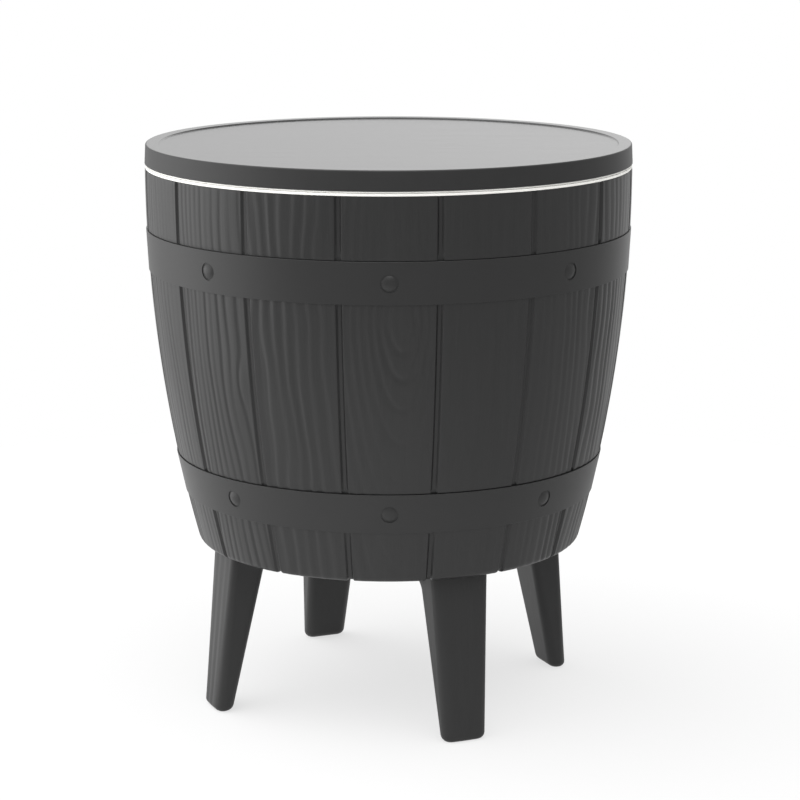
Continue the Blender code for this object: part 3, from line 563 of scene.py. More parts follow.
# Barrel
class BarrelForm:
    """The staves' arc between the barrel's foot and its mouth."""

    def __init__(self, sizes):
        self.foot = BARREL_LOW.z
        self.mouth = BARREL_HIGH.z - sizes.mouth_drop
        self.widest = sizes.radius
        self.level = self.mouth - sizes.below_mouth
        rise = self.level - self.foot
        inset = sizes.radius - sizes.foot_radius
        self.bow = (rise ** 2 + inset ** 2) / (2 * inset)
        self.round = sizes.foot_round
        self.lean_at_foot = self.lean(self.foot)
        self.turn_in = (sizes.foot_radius + math.tan(self.lean_at_foot) * self.round
                        - self.round / math.cos(self.lean_at_foot))
        self.turn_level = self.foot + self.round
        self.bed = self.turn_in - BED_INSET

    def radius(self, level):
        """Radius of the staves' face at a level."""
        return self.widest - self.bow + math.sqrt(self.bow ** 2 - (level - self.level) ** 2)

    def lean(self, level):
        """Lean of the face from the upright, outward going up."""
        return math.asin((self.level - level) / self.bow)

    def foot_point(self, angle, depth):
        """A point of the rounded foot, at a depth under the face."""
        reach = self.round - depth
        return self.turn_in + reach * math.cos(angle), self.turn_level + reach * math.sin(angle)


def stave_rows(sizes, form):
    """Rows of a stave from its inner end under the barrel up to the mouth."""
    rows = []

    def row(face, inward, sunk=0.0, gain=1.0):
        back = sizes.groove_depth + 0.0003
        rows.append({
            "face": (face[0] + inward[0] * sunk, face[1] + inward[1] * sunk),
            "back": (face[0] + inward[0] * back, face[1] + inward[1] * back),
            "inward": inward, "gain": gain, "level": face[1],
        })

    def wall(level, sunk=0.0, gain=1.0):
        lean = form.lean(level)
        row((form.radius(level), level), (-math.cos(lean), math.sin(lean)), sunk, gain)

    row((form.bed, form.foot), (0.0, 1.0), 0.0, 0.0)
    for part, angle in enumerate(evenly(-math.pi / 2, -form.lean_at_foot, 7)):
        row(form.foot_point(angle, 0.0), (-math.cos(angle), -math.sin(angle)), 0.0, part / 7)
    hoops = bpy.context.scene.cooler_hoops
    seat = hoops.thick - hoops.proud + CLEARANCE
    (low_foot, low_head), (high_foot, high_head) = HOOPS["lower_hoop"], HOOPS["upper_hoop"]
    starts = (rows[-1]["level"], low_head + sizes.hoop_gap, high_head + sizes.hoop_gap)
    ends = (low_foot - SEAT_ROOM, high_foot - SEAT_ROOM, form.mouth)
    for number, (low, high, count) in enumerate(zip(starts, ends, ROWS)):
        first = 0 if number else 1
        top = number == 2
        for part, level in enumerate(evenly(low, high, count, first), first):
            soft_end = part == 0 or top and part == count
            gain = min(0.70, 0.4 + (high - level) / 0.006) if top else 1.0
            wall(level, SOFT_END if soft_end else 0.0, gain)
        if not top:
            wall(high + SEAT_STEP, seat, 0.0)
            wall(starts[number + 1] - SEAT_STEP, seat, 0.0)
    return rows


# Each stave's grain: figure, spacing of its lines, middle of the figure across and up the stave,
# strength, and how far a line's section leans to one side; below 0 the lines are wider too
STAVE_GRAIN = (
    ("left", 0.0138, 0.000, 0.350, 1.25, -0.3), ("arch", 0.0079, 0.0114, 0.431, 0.90, 0.0),
    ("waves", 0.0150, 0.000, 0.300, 0.10, 0.3), ("right", 0.0108, 0.000, 0.360, 1.00, 0.4),
    ("waves", 0.0112, 0.000, 0.300, 0.90, 0.3), ("arch", 0.0080, -0.010, 0.360, 0.60, 0.0),
    ("left", 0.0090, 0.000, 0.300, 0.70, 0.5), ("waves", 0.0105, 0.000, 0.300, 0.40, -0.4),
    ("arch", 0.0078, 0.006, 0.330, 0.60, 0.0), ("right", 0.0100, 0.000, 0.300, 0.60, -0.5),
    ("waves", 0.0090, 0.000, 0.300, 0.50, 0.4), ("arch", 0.0084, -0.008, 0.410, 0.60, 0.0),
    ("knot", 0.0095, 0.012, 0.330, 0.60, 0.5), ("waves", 0.0100, 0.000, 0.300, 0.60, -0.4),
    ("left", 0.0088, 0.000, 0.300, 0.65, 0.4), ("knot", 0.0094, 0.033, 0.365, 0.92, 0.5),
)


def fade(value, middle, width):
    """Smooth climb from 0 far under a middle to 1 far over it."""
    return 1.0 / (1.0 + math.exp((middle - value) / width))


def arch_relief(spacing, aside, up, own, wander):
    """Depth of the tall nested arches that a flat-sawn board shows, round an eye."""
    apart = max(0.0015, up * 0.6 if up > 0.0 else -up)
    spread = 0.028 * (apart / 0.081) ** 0.66
    ring = math.hypot(aside, spread)
    steep = math.hypot(aside, 0.66 * spread * spread / apart) / ring
    phase = ring / spacing - 0.55 + wander
    line = max(1.0, round(phase))
    far = (phase - line) * spacing / max(steep, 0.20)
    width = 0.0023 if far < 0.0 else 0.0040
    hollow = math.exp(-(far / width) ** 2) * max(0.3, min(1.0, 0.8 + own(line, 3.0)))
    inner = fade(aside, -0.034, 0.004)
    beside = 1.0 - 0.8 * fade(aside, 0.025, 0.004)
    above = 1.0 - 0.75 * inner * fade(up, 0.050, 0.006)
    outside = 1.0 - 0.65 * inner * fade(ring, 0.034, 0.002)
    return beside * hollow * above * outside


def grain_relief(kind, across, level, seed):
    """Share of the grain's depth at a point of a stave: 0 on the ridges, 1 in the hollows."""
    name, spacing, centre, height, strength, skew = kind
    wander = noise.noise((across * 14.0, level * 5.0, seed * 3.7 + 50.0))
    ripple = noise.noise((across * 34.0, level * 15.0, seed * 3.7))
    aside = across - centre

    def own(line, along):
        return noise.noise((line * 1.73 + 0.31, level * along, seed * 7.9 + 0.17))

    if name == "arch":
        wander = wander * 0.3 + ripple * 0.16
        return 0.06 + strength * arch_relief(spacing, aside, level - height, own, wander)
    if name == "knot":
        crowd = math.exp(-8.0 * across) / 8.0
        round_knot = math.hypot(aside / 0.007, (level - height) / 0.020)
        phase = 0.5 * math.exp(-round_knot ** 2) - crowd / spacing + wander * 1.1 + ripple * 0.34
    else:
        phase = (across - (height - level) * 0.03) / spacing + wander * 1.15 + ripple * 0.36
    if name == "left":
        strength *= 0.80 + 0.20 * fade(-across, 0.0, 0.009)
    elif name == "right":
        strength *= 0.30 + 0.70 * fade(across, 0.010, 0.007)
    turned = math.tau * phase
    hollow = 0.5 + 0.5 * math.sin(turned + skew * math.sin(turned))
    if skew >= 0.0:
        hollow **= 1.5
    uneven = max(0.22, min(1.0, 0.65 + 1.2 * own(math.floor(phase + 0.25), 4.5)))
    return min(1.0, 0.06 + strength * hollow * uneven)


def stave_column(column, columns, half, edge):
    """Distance across a stave and depth of its rounded edge at one of its columns."""
    steps = ((0.0, 1.0), (0.3 * edge, 0.45), (0.75 * edge, 0.12), (1.4 * edge, 0.0))
    side = -1.0 if column <= columns / 2 else 1.0
    inner = min(column, columns - column)
    if inner < 3:
        return side * (half - steps[inner][0]), steps[inner][1] * edge
    reach = half - steps[3][0]
    return -reach + 2.0 * reach * (column - 3) / (columns - 6), 0.0


def stave_shape(sizes, rows, index):
    """One board with a fine face, rounded edges, sloping sides and a coarse back."""
    across, along = 14, (len(rows) - 1) // FINE
    columns = across * FINE
    shape = bmesh.new()
    bmesh.ops.create_grid(shape, x_segments=across, y_segments=along, size=1.0)
    copied = bmesh.ops.extrude_face_region(shape, geom=shape.faces[:])["geom"]
    back = [part for part in copied if isinstance(part, bmesh.types.BMVert)]
    bmesh.ops.translate(shape, verts=back, vec=(0, 0, -1))
    face_edges = [edge for edge in shape.edges if min(vert.co.z for vert in edge.verts) > -0.5]
    bmesh.ops.subdivide_edges(shape, edges=face_edges, cuts=FINE - 1, use_grid_fill=True)
    grain = shape.loops.layers.uv.new("grain")
    kind = STAVE_GRAIN[index % len(STAVE_GRAIN)]
    pitch = math.tau / sizes.staves
    flat = {}
    for vert in shape.verts:
        column = round((vert.co.x + 1.0) / 2.0 * columns)
        row = rows[round((vert.co.y + 1.0) / 2.0 * along * FINE)]
        around = row["face"][0]
        if vert.co.z > -0.5:
            half = pitch / 2 * around - sizes.groove / 2
            side, sunk = stave_column(column, columns, half, sizes.edge)
            damp = min(1.0, 0.4 + (half - abs(side)) / 0.005)
            depth = grain_relief(kind, side, row["level"], index) * damp * row["gain"]
            sunk += depth * sizes.relief
            radius = row["face"][0] + row["inward"][0] * sunk
            level = row["face"][1] + row["inward"][1] * sunk
        else:
            half = pitch / 2 * around - sizes.groove_floor / 2
            side = (column / columns * 2.0 - 1.0) * half
            radius, level = row["back"]
        flat[vert] = (side + index * 0.37, row["level"])
        vert.co = (*polar(radius, index * pitch + side / around), level)
    for face in shape.faces:
        for loop in face.loops:
            loop[grain].uv = flat[loop.vert]
    bmesh.ops.recalc_face_normals(shape, faces=shape.faces[:])
    return shape


class COOLER_OT_barrel(bpy.types.Operator):
    """Build the barrel's inner shell, whose face is the floor of the grooves"""

    bl_idname = "cooler.barrel"
    bl_label = "Barrel shell"

    def execute(self, context):
        sizes = context.scene.cooler_barrel
        form = BarrelForm(sizes)
        deep = sizes.groove_depth
        floor = form.foot + sizes.floor
        bed = form.bed - 0.0001
        outline = [(0.0, form.foot, 0.0), (bed, form.foot, 0.0), (bed, form.foot + deep, 0.0)]
        for angle in evenly(-math.pi / 2, -form.lean_at_foot, 8):
            outline.append((*form.foot_point(angle, deep), 0.0))
        for level in evenly(outline[-1][1], form.mouth, 40, 1):
            outline.append((form.radius(level) - deep, level, 0.0))
        for level in evenly(form.mouth, form.foot + 2.5 * form.round, 8):
            outline.append((form.radius(level) - sizes.wall, level, 0.0))
        outline += [(form.turn_in, floor, 0.004), (0.0, floor, 0.0)]
        shell = carve(turn(outline, BODY), drain_hole(context, form.foot, THROUGH_BARREL))
        place_piece("barrel_core", shell, "hoop_resin", "base", "barrel_shell", sharp=35.0)
        return {"FINISHED"}


class COOLER_OT_staves(bpy.types.Operator):
    """Build the staves that stand round the barrel's shell"""

    bl_idname = "cooler.staves"
    bl_label = "Staves"

    def execute(self, context):
        sizes = context.scene.cooler_barrel
        form = BarrelForm(sizes)
        rows = stave_rows(sizes, form)
        if (len(rows) - 1) % FINE:
            raise RuntimeError(f"a stave has {len(rows)} rows: not a multiple of {FINE}, plus one")
        for index in range(sizes.staves):
            shape = stave_shape(sizes, rows, index)
            stave = place_piece(f"stave_{index + 1}", shape, "stave_resin", "base", "barrel_shell",
                                sharp=38.0)
            stave.modifiers.clear()
        return {"FINISHED"}


def hoop_seat(name, azimuth):
    """Seat of a rivet: origin on the hoop's face, Z straight out of it."""
    form = BarrelForm(bpy.context.scene.cooler_barrel)
    low, high = HOOPS[name]
    lean = math.atan2(form.radius(high) - form.radius(low), high - low)
    radius = (form.radius(low) + form.radius(high)) / 2 + bpy.context.scene.cooler_hoops.proud
    seat = Matrix.Translation((*polar(radius, azimuth), (low + high) / 2))
    return seat @ Matrix.Rotation(azimuth, 4, "Z") @ Matrix.Rotation(math.pi / 2 + lean, 4, "X")


class COOLER_OT_hoops(bpy.types.Operator):
    """Build the two hoops and their rivets"""

    bl_idname = "cooler.hoops"
    bl_label = "Hoops and rivets"

    def execute(self, context):
        sizes = context.scene.cooler_hoops
        form = BarrelForm(context.scene.cooler_barrel)
        pitch = math.tau / context.scene.cooler_barrel.staves
        for name, (low, high) in HOOPS.items():
            low_face = form.radius(low) + sizes.proud
            high_face = form.radius(high) + sizes.proud
            hoop = turn([
                (low_face, low, sizes.edge), (high_face, high, sizes.edge * 1.6),
                (high_face - sizes.thick, high, 0.0), (low_face - sizes.thick, low, 0.0),
            ], WIDE)
            seats = [hoop_seat(name, (2 * number + 1) * pitch) for number in range(sizes.rivets)]
            if seats:
                sunk = Matrix.Translation((0, 0, 0.01 - sizes.pocket_depth))
                pockets = [rod(sizes.pocket, 0.02, seat @ sunk, DRAIN) for seat in seats]
                hoop = carve(hoop, gather(*pockets))
            place_piece(name, hoop, "hoop_resin", "base")
            for number, seat in enumerate(seats, 1):
                rivet = name.replace("hoop", f"rivet_{number}")
                place_piece(rivet, self.rivet(sizes), "hoop_resin", "base", at=seat)
        return {"FINISHED"}

    def rivet(self, sizes):
        """A low dome that rises from the floor of its pocket."""
        floor = -sizes.pocket_depth
        outline = []
        for reach in evenly(0.0, 1.0, 8):
            level = floor + sizes.rivet_rise * (1 - reach ** 2.4)
            outline.append((sizes.rivet_radius * reach, level, 0.0))
        outline += [(sizes.rivet_radius, floor - 0.0002, 0.0), (0.0, floor - 0.0002, 0.0)]
        return turn(outline, RIVET)


# Table top
class COOLER_OT_table_top(bpy.types.Operator):
    """Build the dark tray of the table top"""

    bl_idname = "cooler.table_top"
    bl_label = "Table top"

    def execute(self, context):
        sizes = context.scene.cooler_top
        radius, edge, height = TOP_HIGH.x, TOP_LOW.z, TOP_HIGH.z
        upper = radius - sizes.draft
        rim = upper - sizes.rim
        panel = height - sizes.recess
        outline = [
            (0.0, panel, 0.0), (rim * 0.5, panel, 0.0), (rim - 0.004, panel, 0.0),
            (rim - 0.0002, panel, 0.0006), (rim + 0.0006, height, 0.0005),
            (upper, height, sizes.soft), (radius, edge, 0.0002),
            (radius - sizes.wall, edge, 0.0005), (upper - sizes.wall, panel - sizes.wall, 0.0015),
            (0.0, panel - sizes.wall, 0.0),
        ]
        middle = (edge + panel - sizes.wall / 2) / 2
        bosses = [rod(BOSS_RADIUS, 2 * (middle - edge), axis_of(name, middle))
                  for name in HEAD_SCREWS]
        tray = gather(turn(outline, WIDE), *bosses)
        place_piece("table_top", tray, "panel_resin", "top")
        return {"FINISHED"}


class COOLER_OT_underside(bpy.types.Operator):
    """Build the white lower shell of the table top"""

    bl_idname = "cooler.underside"
    bl_label = "White lower shell"

    def execute(self, context):
        sizes = context.scene.cooler_top
        low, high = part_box("top_underside")
        edge, top, foot = high.x, high.z, low.z
        ledge = top - sizes.under_edge
        plate = top - sizes.plate
        mouth = bucket_radius(context, LINER_HIGH.z) - context.scene.cooler_bucket.wall
        skirt = mouth - SKIRT_EASE
        inner = skirt - sizes.skirt_wall
        shell = turn([
            (0.0, top, 0.0), (edge, top, 0.0004), (edge, ledge, 0.0004), (skirt, ledge, 0.0006),
            (skirt, foot, 0.0008), (inner, foot, 0.0008), (inner, plate, 0.0020), (0.0, plate, 0.0),
        ], WIDE)
        place_piece("top_underside", shell, "bucket_resin", "top")
        return {"FINISHED"}


# Bucket
def bucket_radius(context, level):
    """Outer radius of the bucket: the barrel's wall less the insulating space."""
    sizes = context.scene.cooler_barrel
    return BarrelForm(sizes).radius(level) - sizes.wall - context.scene.cooler_bucket.cavity


class COOLER_OT_bucket(bpy.types.Operator):
    """Build the white bucket with its flange and the sleeve's socket"""

    bl_idname = "cooler.bucket"
    bl_label = "Bucket"

    def execute(self, context):
        sizes = context.scene.cooler_bucket
        low, high = LINER_LOW.z, LINER_HIGH.z
        flange = high - sizes.flange
        inside = low + sizes.wall
        start = low + sizes.round
        outer = [(bucket_radius(context, level), level) for level in evenly(start, flange, 10)]
        foot = outer[0][0] - sizes.round * 0.3
        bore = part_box("guide_sleeve")[1].x + CLEARANCE
        socket = bore + sizes.socket_wall
        tall = inside + sizes.socket
        outline = [(0.0, low, 0.0), (foot, low, 0.014)]
        outline += [(radius, level, 0.0) for radius, level in outer]
        outline += [(LINER_HIGH.x, flange, 0.0002), (LINER_HIGH.x, high, 0.0003)]
        outline.append((bucket_radius(context, high) - sizes.wall, high, 0.0010))
        outline += [(radius - sizes.wall, level, 0.0) for radius, level in outer[-2::-1]]
        outline += [
            (foot - sizes.wall, inside, 0.012), (socket, inside, 0.0020), (socket, tall, 0.0008),
            (bore, tall, 0.0006), (bore, inside, 0.0), (0.0, inside, 0.0),
        ]
        bucket = carve(turn(outline, BODY), drain_hole(context, low, THROUGH_BUCKET))
        place_piece("bucket_liner", bucket, "bucket_resin", "base")
        return {"FINISHED"}


# Legs
class COOLER_OT_legs(bpy.types.Operator):
    """Build the four splayed legs"""

    bl_idname = "cooler.legs"
    bl_label = "Legs"
    FLAT = 24
    CORNER = 8

    def execute(self, context):
        sizes = context.scene.cooler_legs
        for number in (1, 2, 3, 4):
            turned = Matrix.Rotation(math.pi / 4 + (number - 1) * math.pi / 2, 4, "Z")
            place_piece(f"leg_{number}", self.leg(sizes), "leg_resin", "base",
                        at=turned, sharp=50.0)
        return {"FINISHED"}

    def leg(self, sizes):
        """A tapered leg towards -Y, with rounded edges and sole, flutes, a fillet and an ear."""
        height = BARREL_LOW.z - CLEARANCE
        rows = self.rows(sizes, height)
        columns = 4 * (self.FLAT + self.CORNER)
        shape = bmesh.new()
        bmesh.ops.create_cone(shape, cap_ends=True, cap_tris=False, segments=columns, radius1=1.0,
                              radius2=1.0, depth=1.0)
        uprights = [edge for edge in shape.edges
                    if abs(edge.verts[0].co.z - edge.verts[1].co.z) > 0.5]
        bmesh.ops.subdivide_edges(shape, edges=uprights, cuts=len(rows) - 2)
        for vert in shape.verts:
            column = round(math.atan2(vert.co.y, vert.co.x) / math.tau * columns) % columns
            level, inset = rows[round((vert.co.z + 0.5) * (len(rows) - 1))]
            vert.co = self.point(sizes, height, column, level, inset)
        bmesh.ops.recalc_face_normals(shape, faces=shape.faces[:])
        inner = leg_outer() - sizes.top_depth
        side = sizes.ear_width / 2
        ear = block((-side, -inner - sizes.top_depth / 3, height - sizes.ear_thick),
                    (side, -inner + sizes.ear_length, height), 0.0008)
        return gather(shape, ear)

    def rows(self, sizes, height):
        """Level and inset of each row from the sole up to the barrel."""
        top = height - sizes.fillet_height
        rows = [(sizes.sole * (1 - math.cos(angle)), sizes.sole * (1 - math.sin(angle)))
                for angle in evenly(0.0, math.pi / 2, 5)]
        levels = evenly(sizes.sole, top, 8, 1) + evenly(top, height, 8, 1)
        return rows + [(level, 0.0) for level in levels]

    def point(self, sizes, height, column, level, inset):
        """Where a column of the leg's skin stands at a level."""
        climb = level / height
        outer = leg_outer() + sizes.splay * (1 - climb)
        inner = outer - (sizes.foot_depth + (sizes.top_depth - sizes.foot_depth) * climb)
        width = sizes.foot_width + (sizes.top_width - sizes.foot_width) * climb
        edge = sizes.foot_edge + (sizes.edge - sizes.foot_edge) * climb
        quarter, step = divmod(column, self.FLAT + self.CORNER)
        flat = self.FLAT / 2
        normal = Vector((math.cos(quarter * math.pi / 2), math.sin(quarter * math.pi / 2)))
        along = Vector((-normal.y, normal.x))
        if step <= flat:
            spot = normal + along * (step / flat)
        elif step <= flat + self.CORNER:
            angle = math.pi / 2 * (step - flat) / self.CORNER
            spot = normal + along
            normal = normal * math.cos(angle) + along * math.sin(angle)
        else:
            spot = along + normal * (1 - (step - flat - self.CORNER) / flat)
            normal = along
        half = Vector((width / 2 - inset, (outer - inner) / 2 - inset))
        edge = max(edge - inset, 0.0004)
        place = Vector((spot.x * (half.x - edge), spot.y * (half.y - edge))) + normal * edge
        facing = max(0.0, -normal.y)
        bulge = sizes.crown * (place.x / half.x) ** 2
        flute = 0.5 - 0.5 * math.cos(place.x * math.tau / (width / 4.0) + 0.6)
        place.y += facing * (bulge + sizes.flute * flute * min(1.0, level / 0.012))
        fillet = max(0.0, level - height + sizes.fillet_height) / sizes.fillet_height
        inward = min(1.0, max(0.0, 0.5 + place.y / (2 * half.y)))
        place += normal * (sizes.fillet * fillet ** 1.6 * inward ** 2)
        return (place.x, place.y - (outer + inner) / 2, level)


def leg_outer():
    """Radius of a leg's outer face at its top."""
    return bpy.context.scene.cooler_barrel.foot_radius - LEG_INSET


# Fittings
def screw_shape(sizes, length):
    """Pan-head screw with a cross recess: its seat at z = 0, head below, shank above."""
    head, rise = sizes.screw_head, sizes.screw_rise
    screw = turn([
        (0.0, -rise, 0.0), (head * 0.72, -rise * 0.92, 0.0008), (head, -rise * 0.35, 0.0006),
        (head, 0.0, 0.0), (sizes.screw, 0.0, 0.0), (sizes.screw, length, 0.0), (0.0, length, 0.0),
    ], SCREW)
    slot = head * 0.52
    bars = [block((-wide, -deep, -0.01), (wide, deep, -rise * 0.35))
            for wide, deep in ((slot, CROSS_HALF), (CROSS_HALF, slot))]
    return carve(screw, carve(*bars, "UNION"))


class COOLER_OT_screws(bpy.types.Operator):
    """Build the screws of the legs and of the pole's head"""

    bl_idname = "cooler.screws"
    bl_label = "Screws"

    def execute(self, context):
        sizes = context.scene.cooler_fittings
        for names, body in ((LEG_SCREWS, "base"), (HEAD_SCREWS, "top")):
            for count, name in enumerate(names):
                low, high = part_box(name)
                shape = screw_shape(sizes, high.z - low.z - sizes.screw_rise)
                seat = axis_of(name, low.z + sizes.screw_rise)
                seat @= Matrix.Rotation(count * 0.7, 4, "Z")
                place_piece(name, shape, "plated_steel", body, at=seat, sharp=35.0)
        return {"FINISHED"}


class COOLER_OT_pole(bpy.types.Operator):
    """Build the lifting pole, its head and the collar that it slides in"""

    bl_idname = "cooler.pole"
    bl_label = "Pole"

    def execute(self, context):
        sizes = context.scene.cooler_fittings
        pole = sizes.pole
        bore = pole - sizes.pole_wall
        low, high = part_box("lift_pole")
        tube = turn([(pole, high.z, 0.0006), (pole, low.z, 0.0006),
                     (bore, low.z, 0.0004), (bore, high.z, 0.0004)], TUBE)
        tube = carve(tube, gather(pin_hole("head_pin"), pin_hole("foot_pin")))
        place_piece("lift_pole", tube, "pole_resin", "top")

        low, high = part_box("pole_head")
        rim, seat, cap = high.x, high.z - sizes.head_flange, high.z - HEAD_CAP
        slide = pole + CLEARANCE
        hub = slide + sizes.hub_wall
        head = turn([
            (0.0, high.z, 0.0), (rim, high.z, 0.0008), (rim, seat, 0.0014), (hub, seat, 0.0030),
            (hub, low.z, 0.0010), (slide, low.z, 0.0006), (slide, cap, 0.0), (0.0, cap, 0.0),
        ], HEAD)
        place_piece("pole_head", carve(head, pin_hole("head_pin")), "pole_resin", "top")

        low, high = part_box("sleeve_collar")
        lip = high.z - sizes.collar_lip
        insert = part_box("clamp_bush")[1].x - COLLAR_EASE
        collar = turn([
            (high.x, high.z, 0.0010), (high.x, lip, 0.0004), (insert, lip, 0.0),
            (insert, low.z, 0.0006), (slide, low.z, 0.0006), (slide, high.z, 0.0008),
        ], HEAD)
        place_piece("sleeve_collar", collar, "pole_resin", "base")
        return {"FINISHED"}


class COOLER_OT_drain(bpy.types.Operator):
    """Build the drain's spout, nut, seal and cap"""

    bl_idname = "cooler.drain"
    bl_label = "Drain"

    def execute(self, context):
        sizes = context.scene.cooler_fittings
        spout = sizes.spout
        bore = spout - sizes.spout_wall
        clear = spout + CLEARANCE
        axis = axis_of("drain_spout", 0.0)
        low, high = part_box("drain_spout")
        under = high.z - sizes.spout_flange
        pipe = turn([
            (high.x, high.z, 0.0011), (high.x, under, 0.0004), (spout, under, 0.0),
            (spout, low.z, 0.0005), (bore, low.z, 0.0005), (bore, high.z, 0.0011),
        ], DRAIN)
        place_piece("drain_spout", pipe, "bucket_resin", "base", at=axis)

        low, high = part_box("drain_nut")
        middle = Matrix.Translation((0, 0, (low.z + high.z) / 2))
        nut = rod(high.x, high.z - low.z, middle, 6)
        soften(nut, nut.edges[:], 0.0008, 2)
        nut = carve(nut, rod(clear, THROUGH_NUT, middle, DRAIN))
        place_piece("drain_nut", nut, "bucket_resin", "base", at=axis)

        low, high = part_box("drain_seal")
        outer, inner = spout - CLEARANCE, bore - SEAL_LIP
        corners = ((outer, high.z), (outer, low.z), (inner, low.z), (inner, high.z))
        ring = turn([(radius, level, 0.0006) for radius, level in corners], DRAIN)
        place_piece("drain_seal", ring, "seal_rubber", "seal", at=axis)

        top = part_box("drain_cap")[1].z
        seat = low.z - CLEARANCE
        floor = seat - sizes.cap_floor
        radius = clear + sizes.cap_wall
        cup = turn([
            (0.0, seat, 0.0), (clear, seat, 0.0), (clear, top, 0.0005), (radius, top, 0.0008),
            (radius, floor, 0.0014), (0.0, floor, 0.0),
        ], TUBE)
        grip = block((-radius * 0.8, -GRIP_HALF, floor - sizes.cap_grip),
                     (radius * 0.8, GRIP_HALF, floor + sizes.cap_floor / 2), 0.0010)
        place_piece("drain_cap", carve(cup, grip, "UNION"), "bucket_resin", "cap", at=axis)
        return {"FINISHED"}


# Inner parts and stage
class COOLER_OT_inner_parts(bpy.types.Operator):
    """Give the packed solids that stay their finishes"""

    bl_idname = "cooler.inner_parts"
    bl_label = "Inner parts"

    def execute(self, context):
        finishes = {
            "guide_sleeve": "bucket_resin", "clamp_bush": "bucket_resin", "pole_foot": "pole_resin",
            "head_pin": "plated_steel", "foot_pin": "plated_steel",
        }
        for name, finish in finishes.items():
            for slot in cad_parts[name].material_slots:
                slot.material = finish_of(finish)
        return {"FINISHED"}


def view_axes(x, y):
    """How far a place is to the camera's right, and how far back."""
    right = x * math.cos(AWAY) + y * math.sin(AWAY)
    back = x * -math.sin(AWAY) + y * math.cos(AWAY)
    return right, back


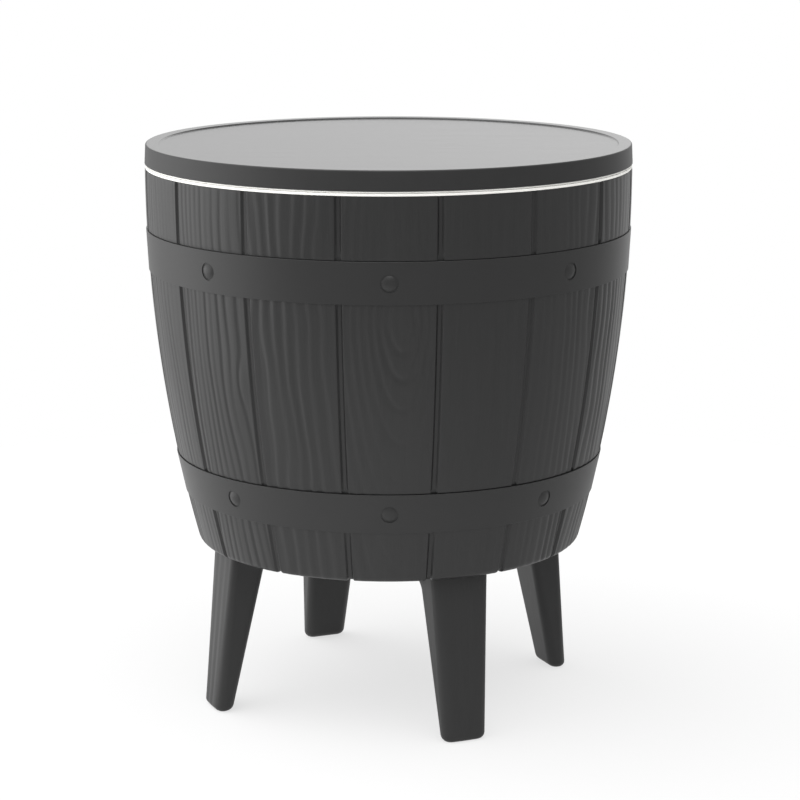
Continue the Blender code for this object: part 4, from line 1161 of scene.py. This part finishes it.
class COOLER_OT_studio(bpy.types.Operator):
    """Set the floor, the light around and the camera"""

    bl_idname = "cooler.studio"
    bl_label = "Studio"

    def execute(self, context):
        studio = context.scene.cooler_studio
        self.floor(studio)
        self.light(context, studio)
        self.camera(context, studio)
        context.scene.view_settings.view_transform = "Standard"
        return {"FINISHED"}

    def floor(self, studio):
        """A wide pale floor that keeps the table's shadow, with painted light and shade in its
        reflected glow.
        """
        shape = bmesh.new()
        bmesh.ops.create_circle(shape, cap_ends=True, segments=96, radius=FLOOR_RADIUS)
        floor = show("floor", mesh_of("floor", shape))
        material, wire, shader = new_finish("floor", studio.floor, 0.8)
        shader.inputs["Specular IOR Level"].default_value = 0.0
        path = wire.node("ShaderNodeLightPath").socket.node.outputs
        seen, mirrored = (Wire(wire.tree, path[key]) for key in ("Is Camera Ray", "Is Glossy Ray"))
        x, y, _ = wire.node("ShaderNodeTexCoord", output=3).split()
        right, back = view_axes(x, y)
        # Painted light and shade in the floor's glow as the table's reflections see it: lighter
        # close behind the table and towards the left, darker towards the right
        near = (x * x + y * y).math("SQRT").step(0.60, 0.30)
        painted_light_behind = near * back.step(-0.15, 0.10) * 0.30
        painted_side_light_and_shade = (right * -1.0).step(0.0, 0.8) * 0.16 - right.step(-0.2, 0.8) * 0.54
        level = seen * 0.90 + mirrored * (0.72 + painted_side_light_and_shade + painted_light_behind)
        colour = level.blend((0.0, 0.0, 0.0, 1.0), (1.0, 1.0, 1.0, 1.0))
        white = wire.node("ShaderNodeEmission", None, {"Color": colour, "Strength": 1.0})
        wash = seen * studio.wash + mirrored * 0.6
        skin = Wire(wire.tree, shader.outputs[0])
        mixed = wire.node("ShaderNodeMixShader", None, {0: wash, 1: skin, 2: white})
        wire.tree.links.new(mixed.socket, wire.tree.nodes["Material Output"].inputs["Surface"])
        floor.data.materials.append(material)

    def light(self, context, studio):
        """A soft studio all round: brighter overhead, behind and at the left."""
        world = bpy.data.worlds.new("studio")
        context.scene.world = world
        world.use_nodes = True
        tree = world.node_tree
        tree.nodes.clear()
        wire = Wire(tree)
        x, y, z = wire.node("ShaderNodeTexCoord", output=0).split()
        right, back = view_axes(x, y)
        path = wire.node("ShaderNodeLightPath").socket.node.outputs
        rays = ("Is Camera Ray", "Is Glossy Ray", "Is Transmission Ray")
        seen, mirrored, passed = (Wire(tree, path[key]) for key in rays)
        glow = z.step(0.28, 1.0) * studio.above + studio.around
        glow = glow + (back * -0.85 - z * 0.45).step(0.15, 0.95) * studio.front
        glow = glow + (back * -0.50 + z * 0.866).step(0.78, 1.0) * studio.over
        glow = glow + (right * 0.98 + back * 0.1).step(0.4, 1.0) * studio.right
        lobe = (right * -0.97 + back * 0.12 + z * 0.5).step(0.50, 1.0)
        glow = glow + lobe * studio.left * (1.0 - mirrored * z.step(0.02, 0.20) * 0.55)
        backdrop = back.step(0.44, 0.92) * mirrored.math("MAXIMUM", passed)
        white = seen.math("MAXIMUM", backdrop)
        slope = right.step(-0.3, 0.5) * 0.40 + z.step(0.05, 0.25) * 0.40 - 0.25
        strength = (glow + white * (1.0 - glow)) * (1.0 + mirrored * slope * back.step(0.80, 0.95))
        background = wire.node("ShaderNodeBackground", None,
                               {"Color": (1.0, 1.0, 1.0, 1.0), "Strength": strength})
        out = tree.nodes.new("ShaderNodeOutputWorld")
        tree.links.new(background.socket, out.inputs[0])

    def camera(self, context, studio):
        """The camera at the photograph's height and angle."""
        data = bpy.data.cameras.new("camera")
        data.lens = studio.lens
        data.sensor_width = 36.0
        camera = show("camera", data)
        camera.location = CAMERA_PLACE
        camera.rotation_euler = (math.pi / 2 - CAMERA_TILT, 0.0, AWAY)
        context.scene.camera = camera


class COOLER_PT_panel(bpy.types.Panel):
    """Lists the steps that build the cooler table"""

    bl_idname = "COOLER_PT_panel"
    bl_label = "Cooler table"
    bl_space_type = "VIEW_3D"
    bl_region_type = "UI"
    bl_category = "Cooler table"

    def draw(self, context):
        for step in OPERATORS:
            self.layout.operator(step.bl_idname)
        for group, kind in SETTINGS.items():
            box = self.layout.box()
            box.label(text=kind.__doc__)
            for name in kind.__annotations__:
                box.prop(getattr(context.scene, group), name)


OPERATORS = (
    COOLER_OT_barrel, COOLER_OT_staves, COOLER_OT_hoops, COOLER_OT_bucket, COOLER_OT_legs,
    COOLER_OT_table_top, COOLER_OT_underside, COOLER_OT_pole, COOLER_OT_screws, COOLER_OT_drain,
    COOLER_OT_inner_parts, COOLER_OT_studio,
)
CLASSES = (*SETTINGS.values(), *OPERATORS, COOLER_PT_panel)


def register():
    """Register the classes and hang the settings on the scene."""
    for kind in CLASSES:
        bpy.utils.register_class(kind)
    for name, kind in SETTINGS.items():
        setattr(bpy.types.Scene, name, PointerProperty(type=kind))


def unregister():
    """Take the settings and the classes away again."""
    for name in SETTINGS:
        delattr(bpy.types.Scene, name)
    for kind in reversed(CLASSES):
        bpy.utils.unregister_class(kind)


def main():
    """Build every piece and the stage."""
    register()
    for step in OPERATORS:
        group, name = step.bl_idname.split(".")
        getattr(getattr(bpy.ops, group), name)()


if __name__ == "__main__":
    main()
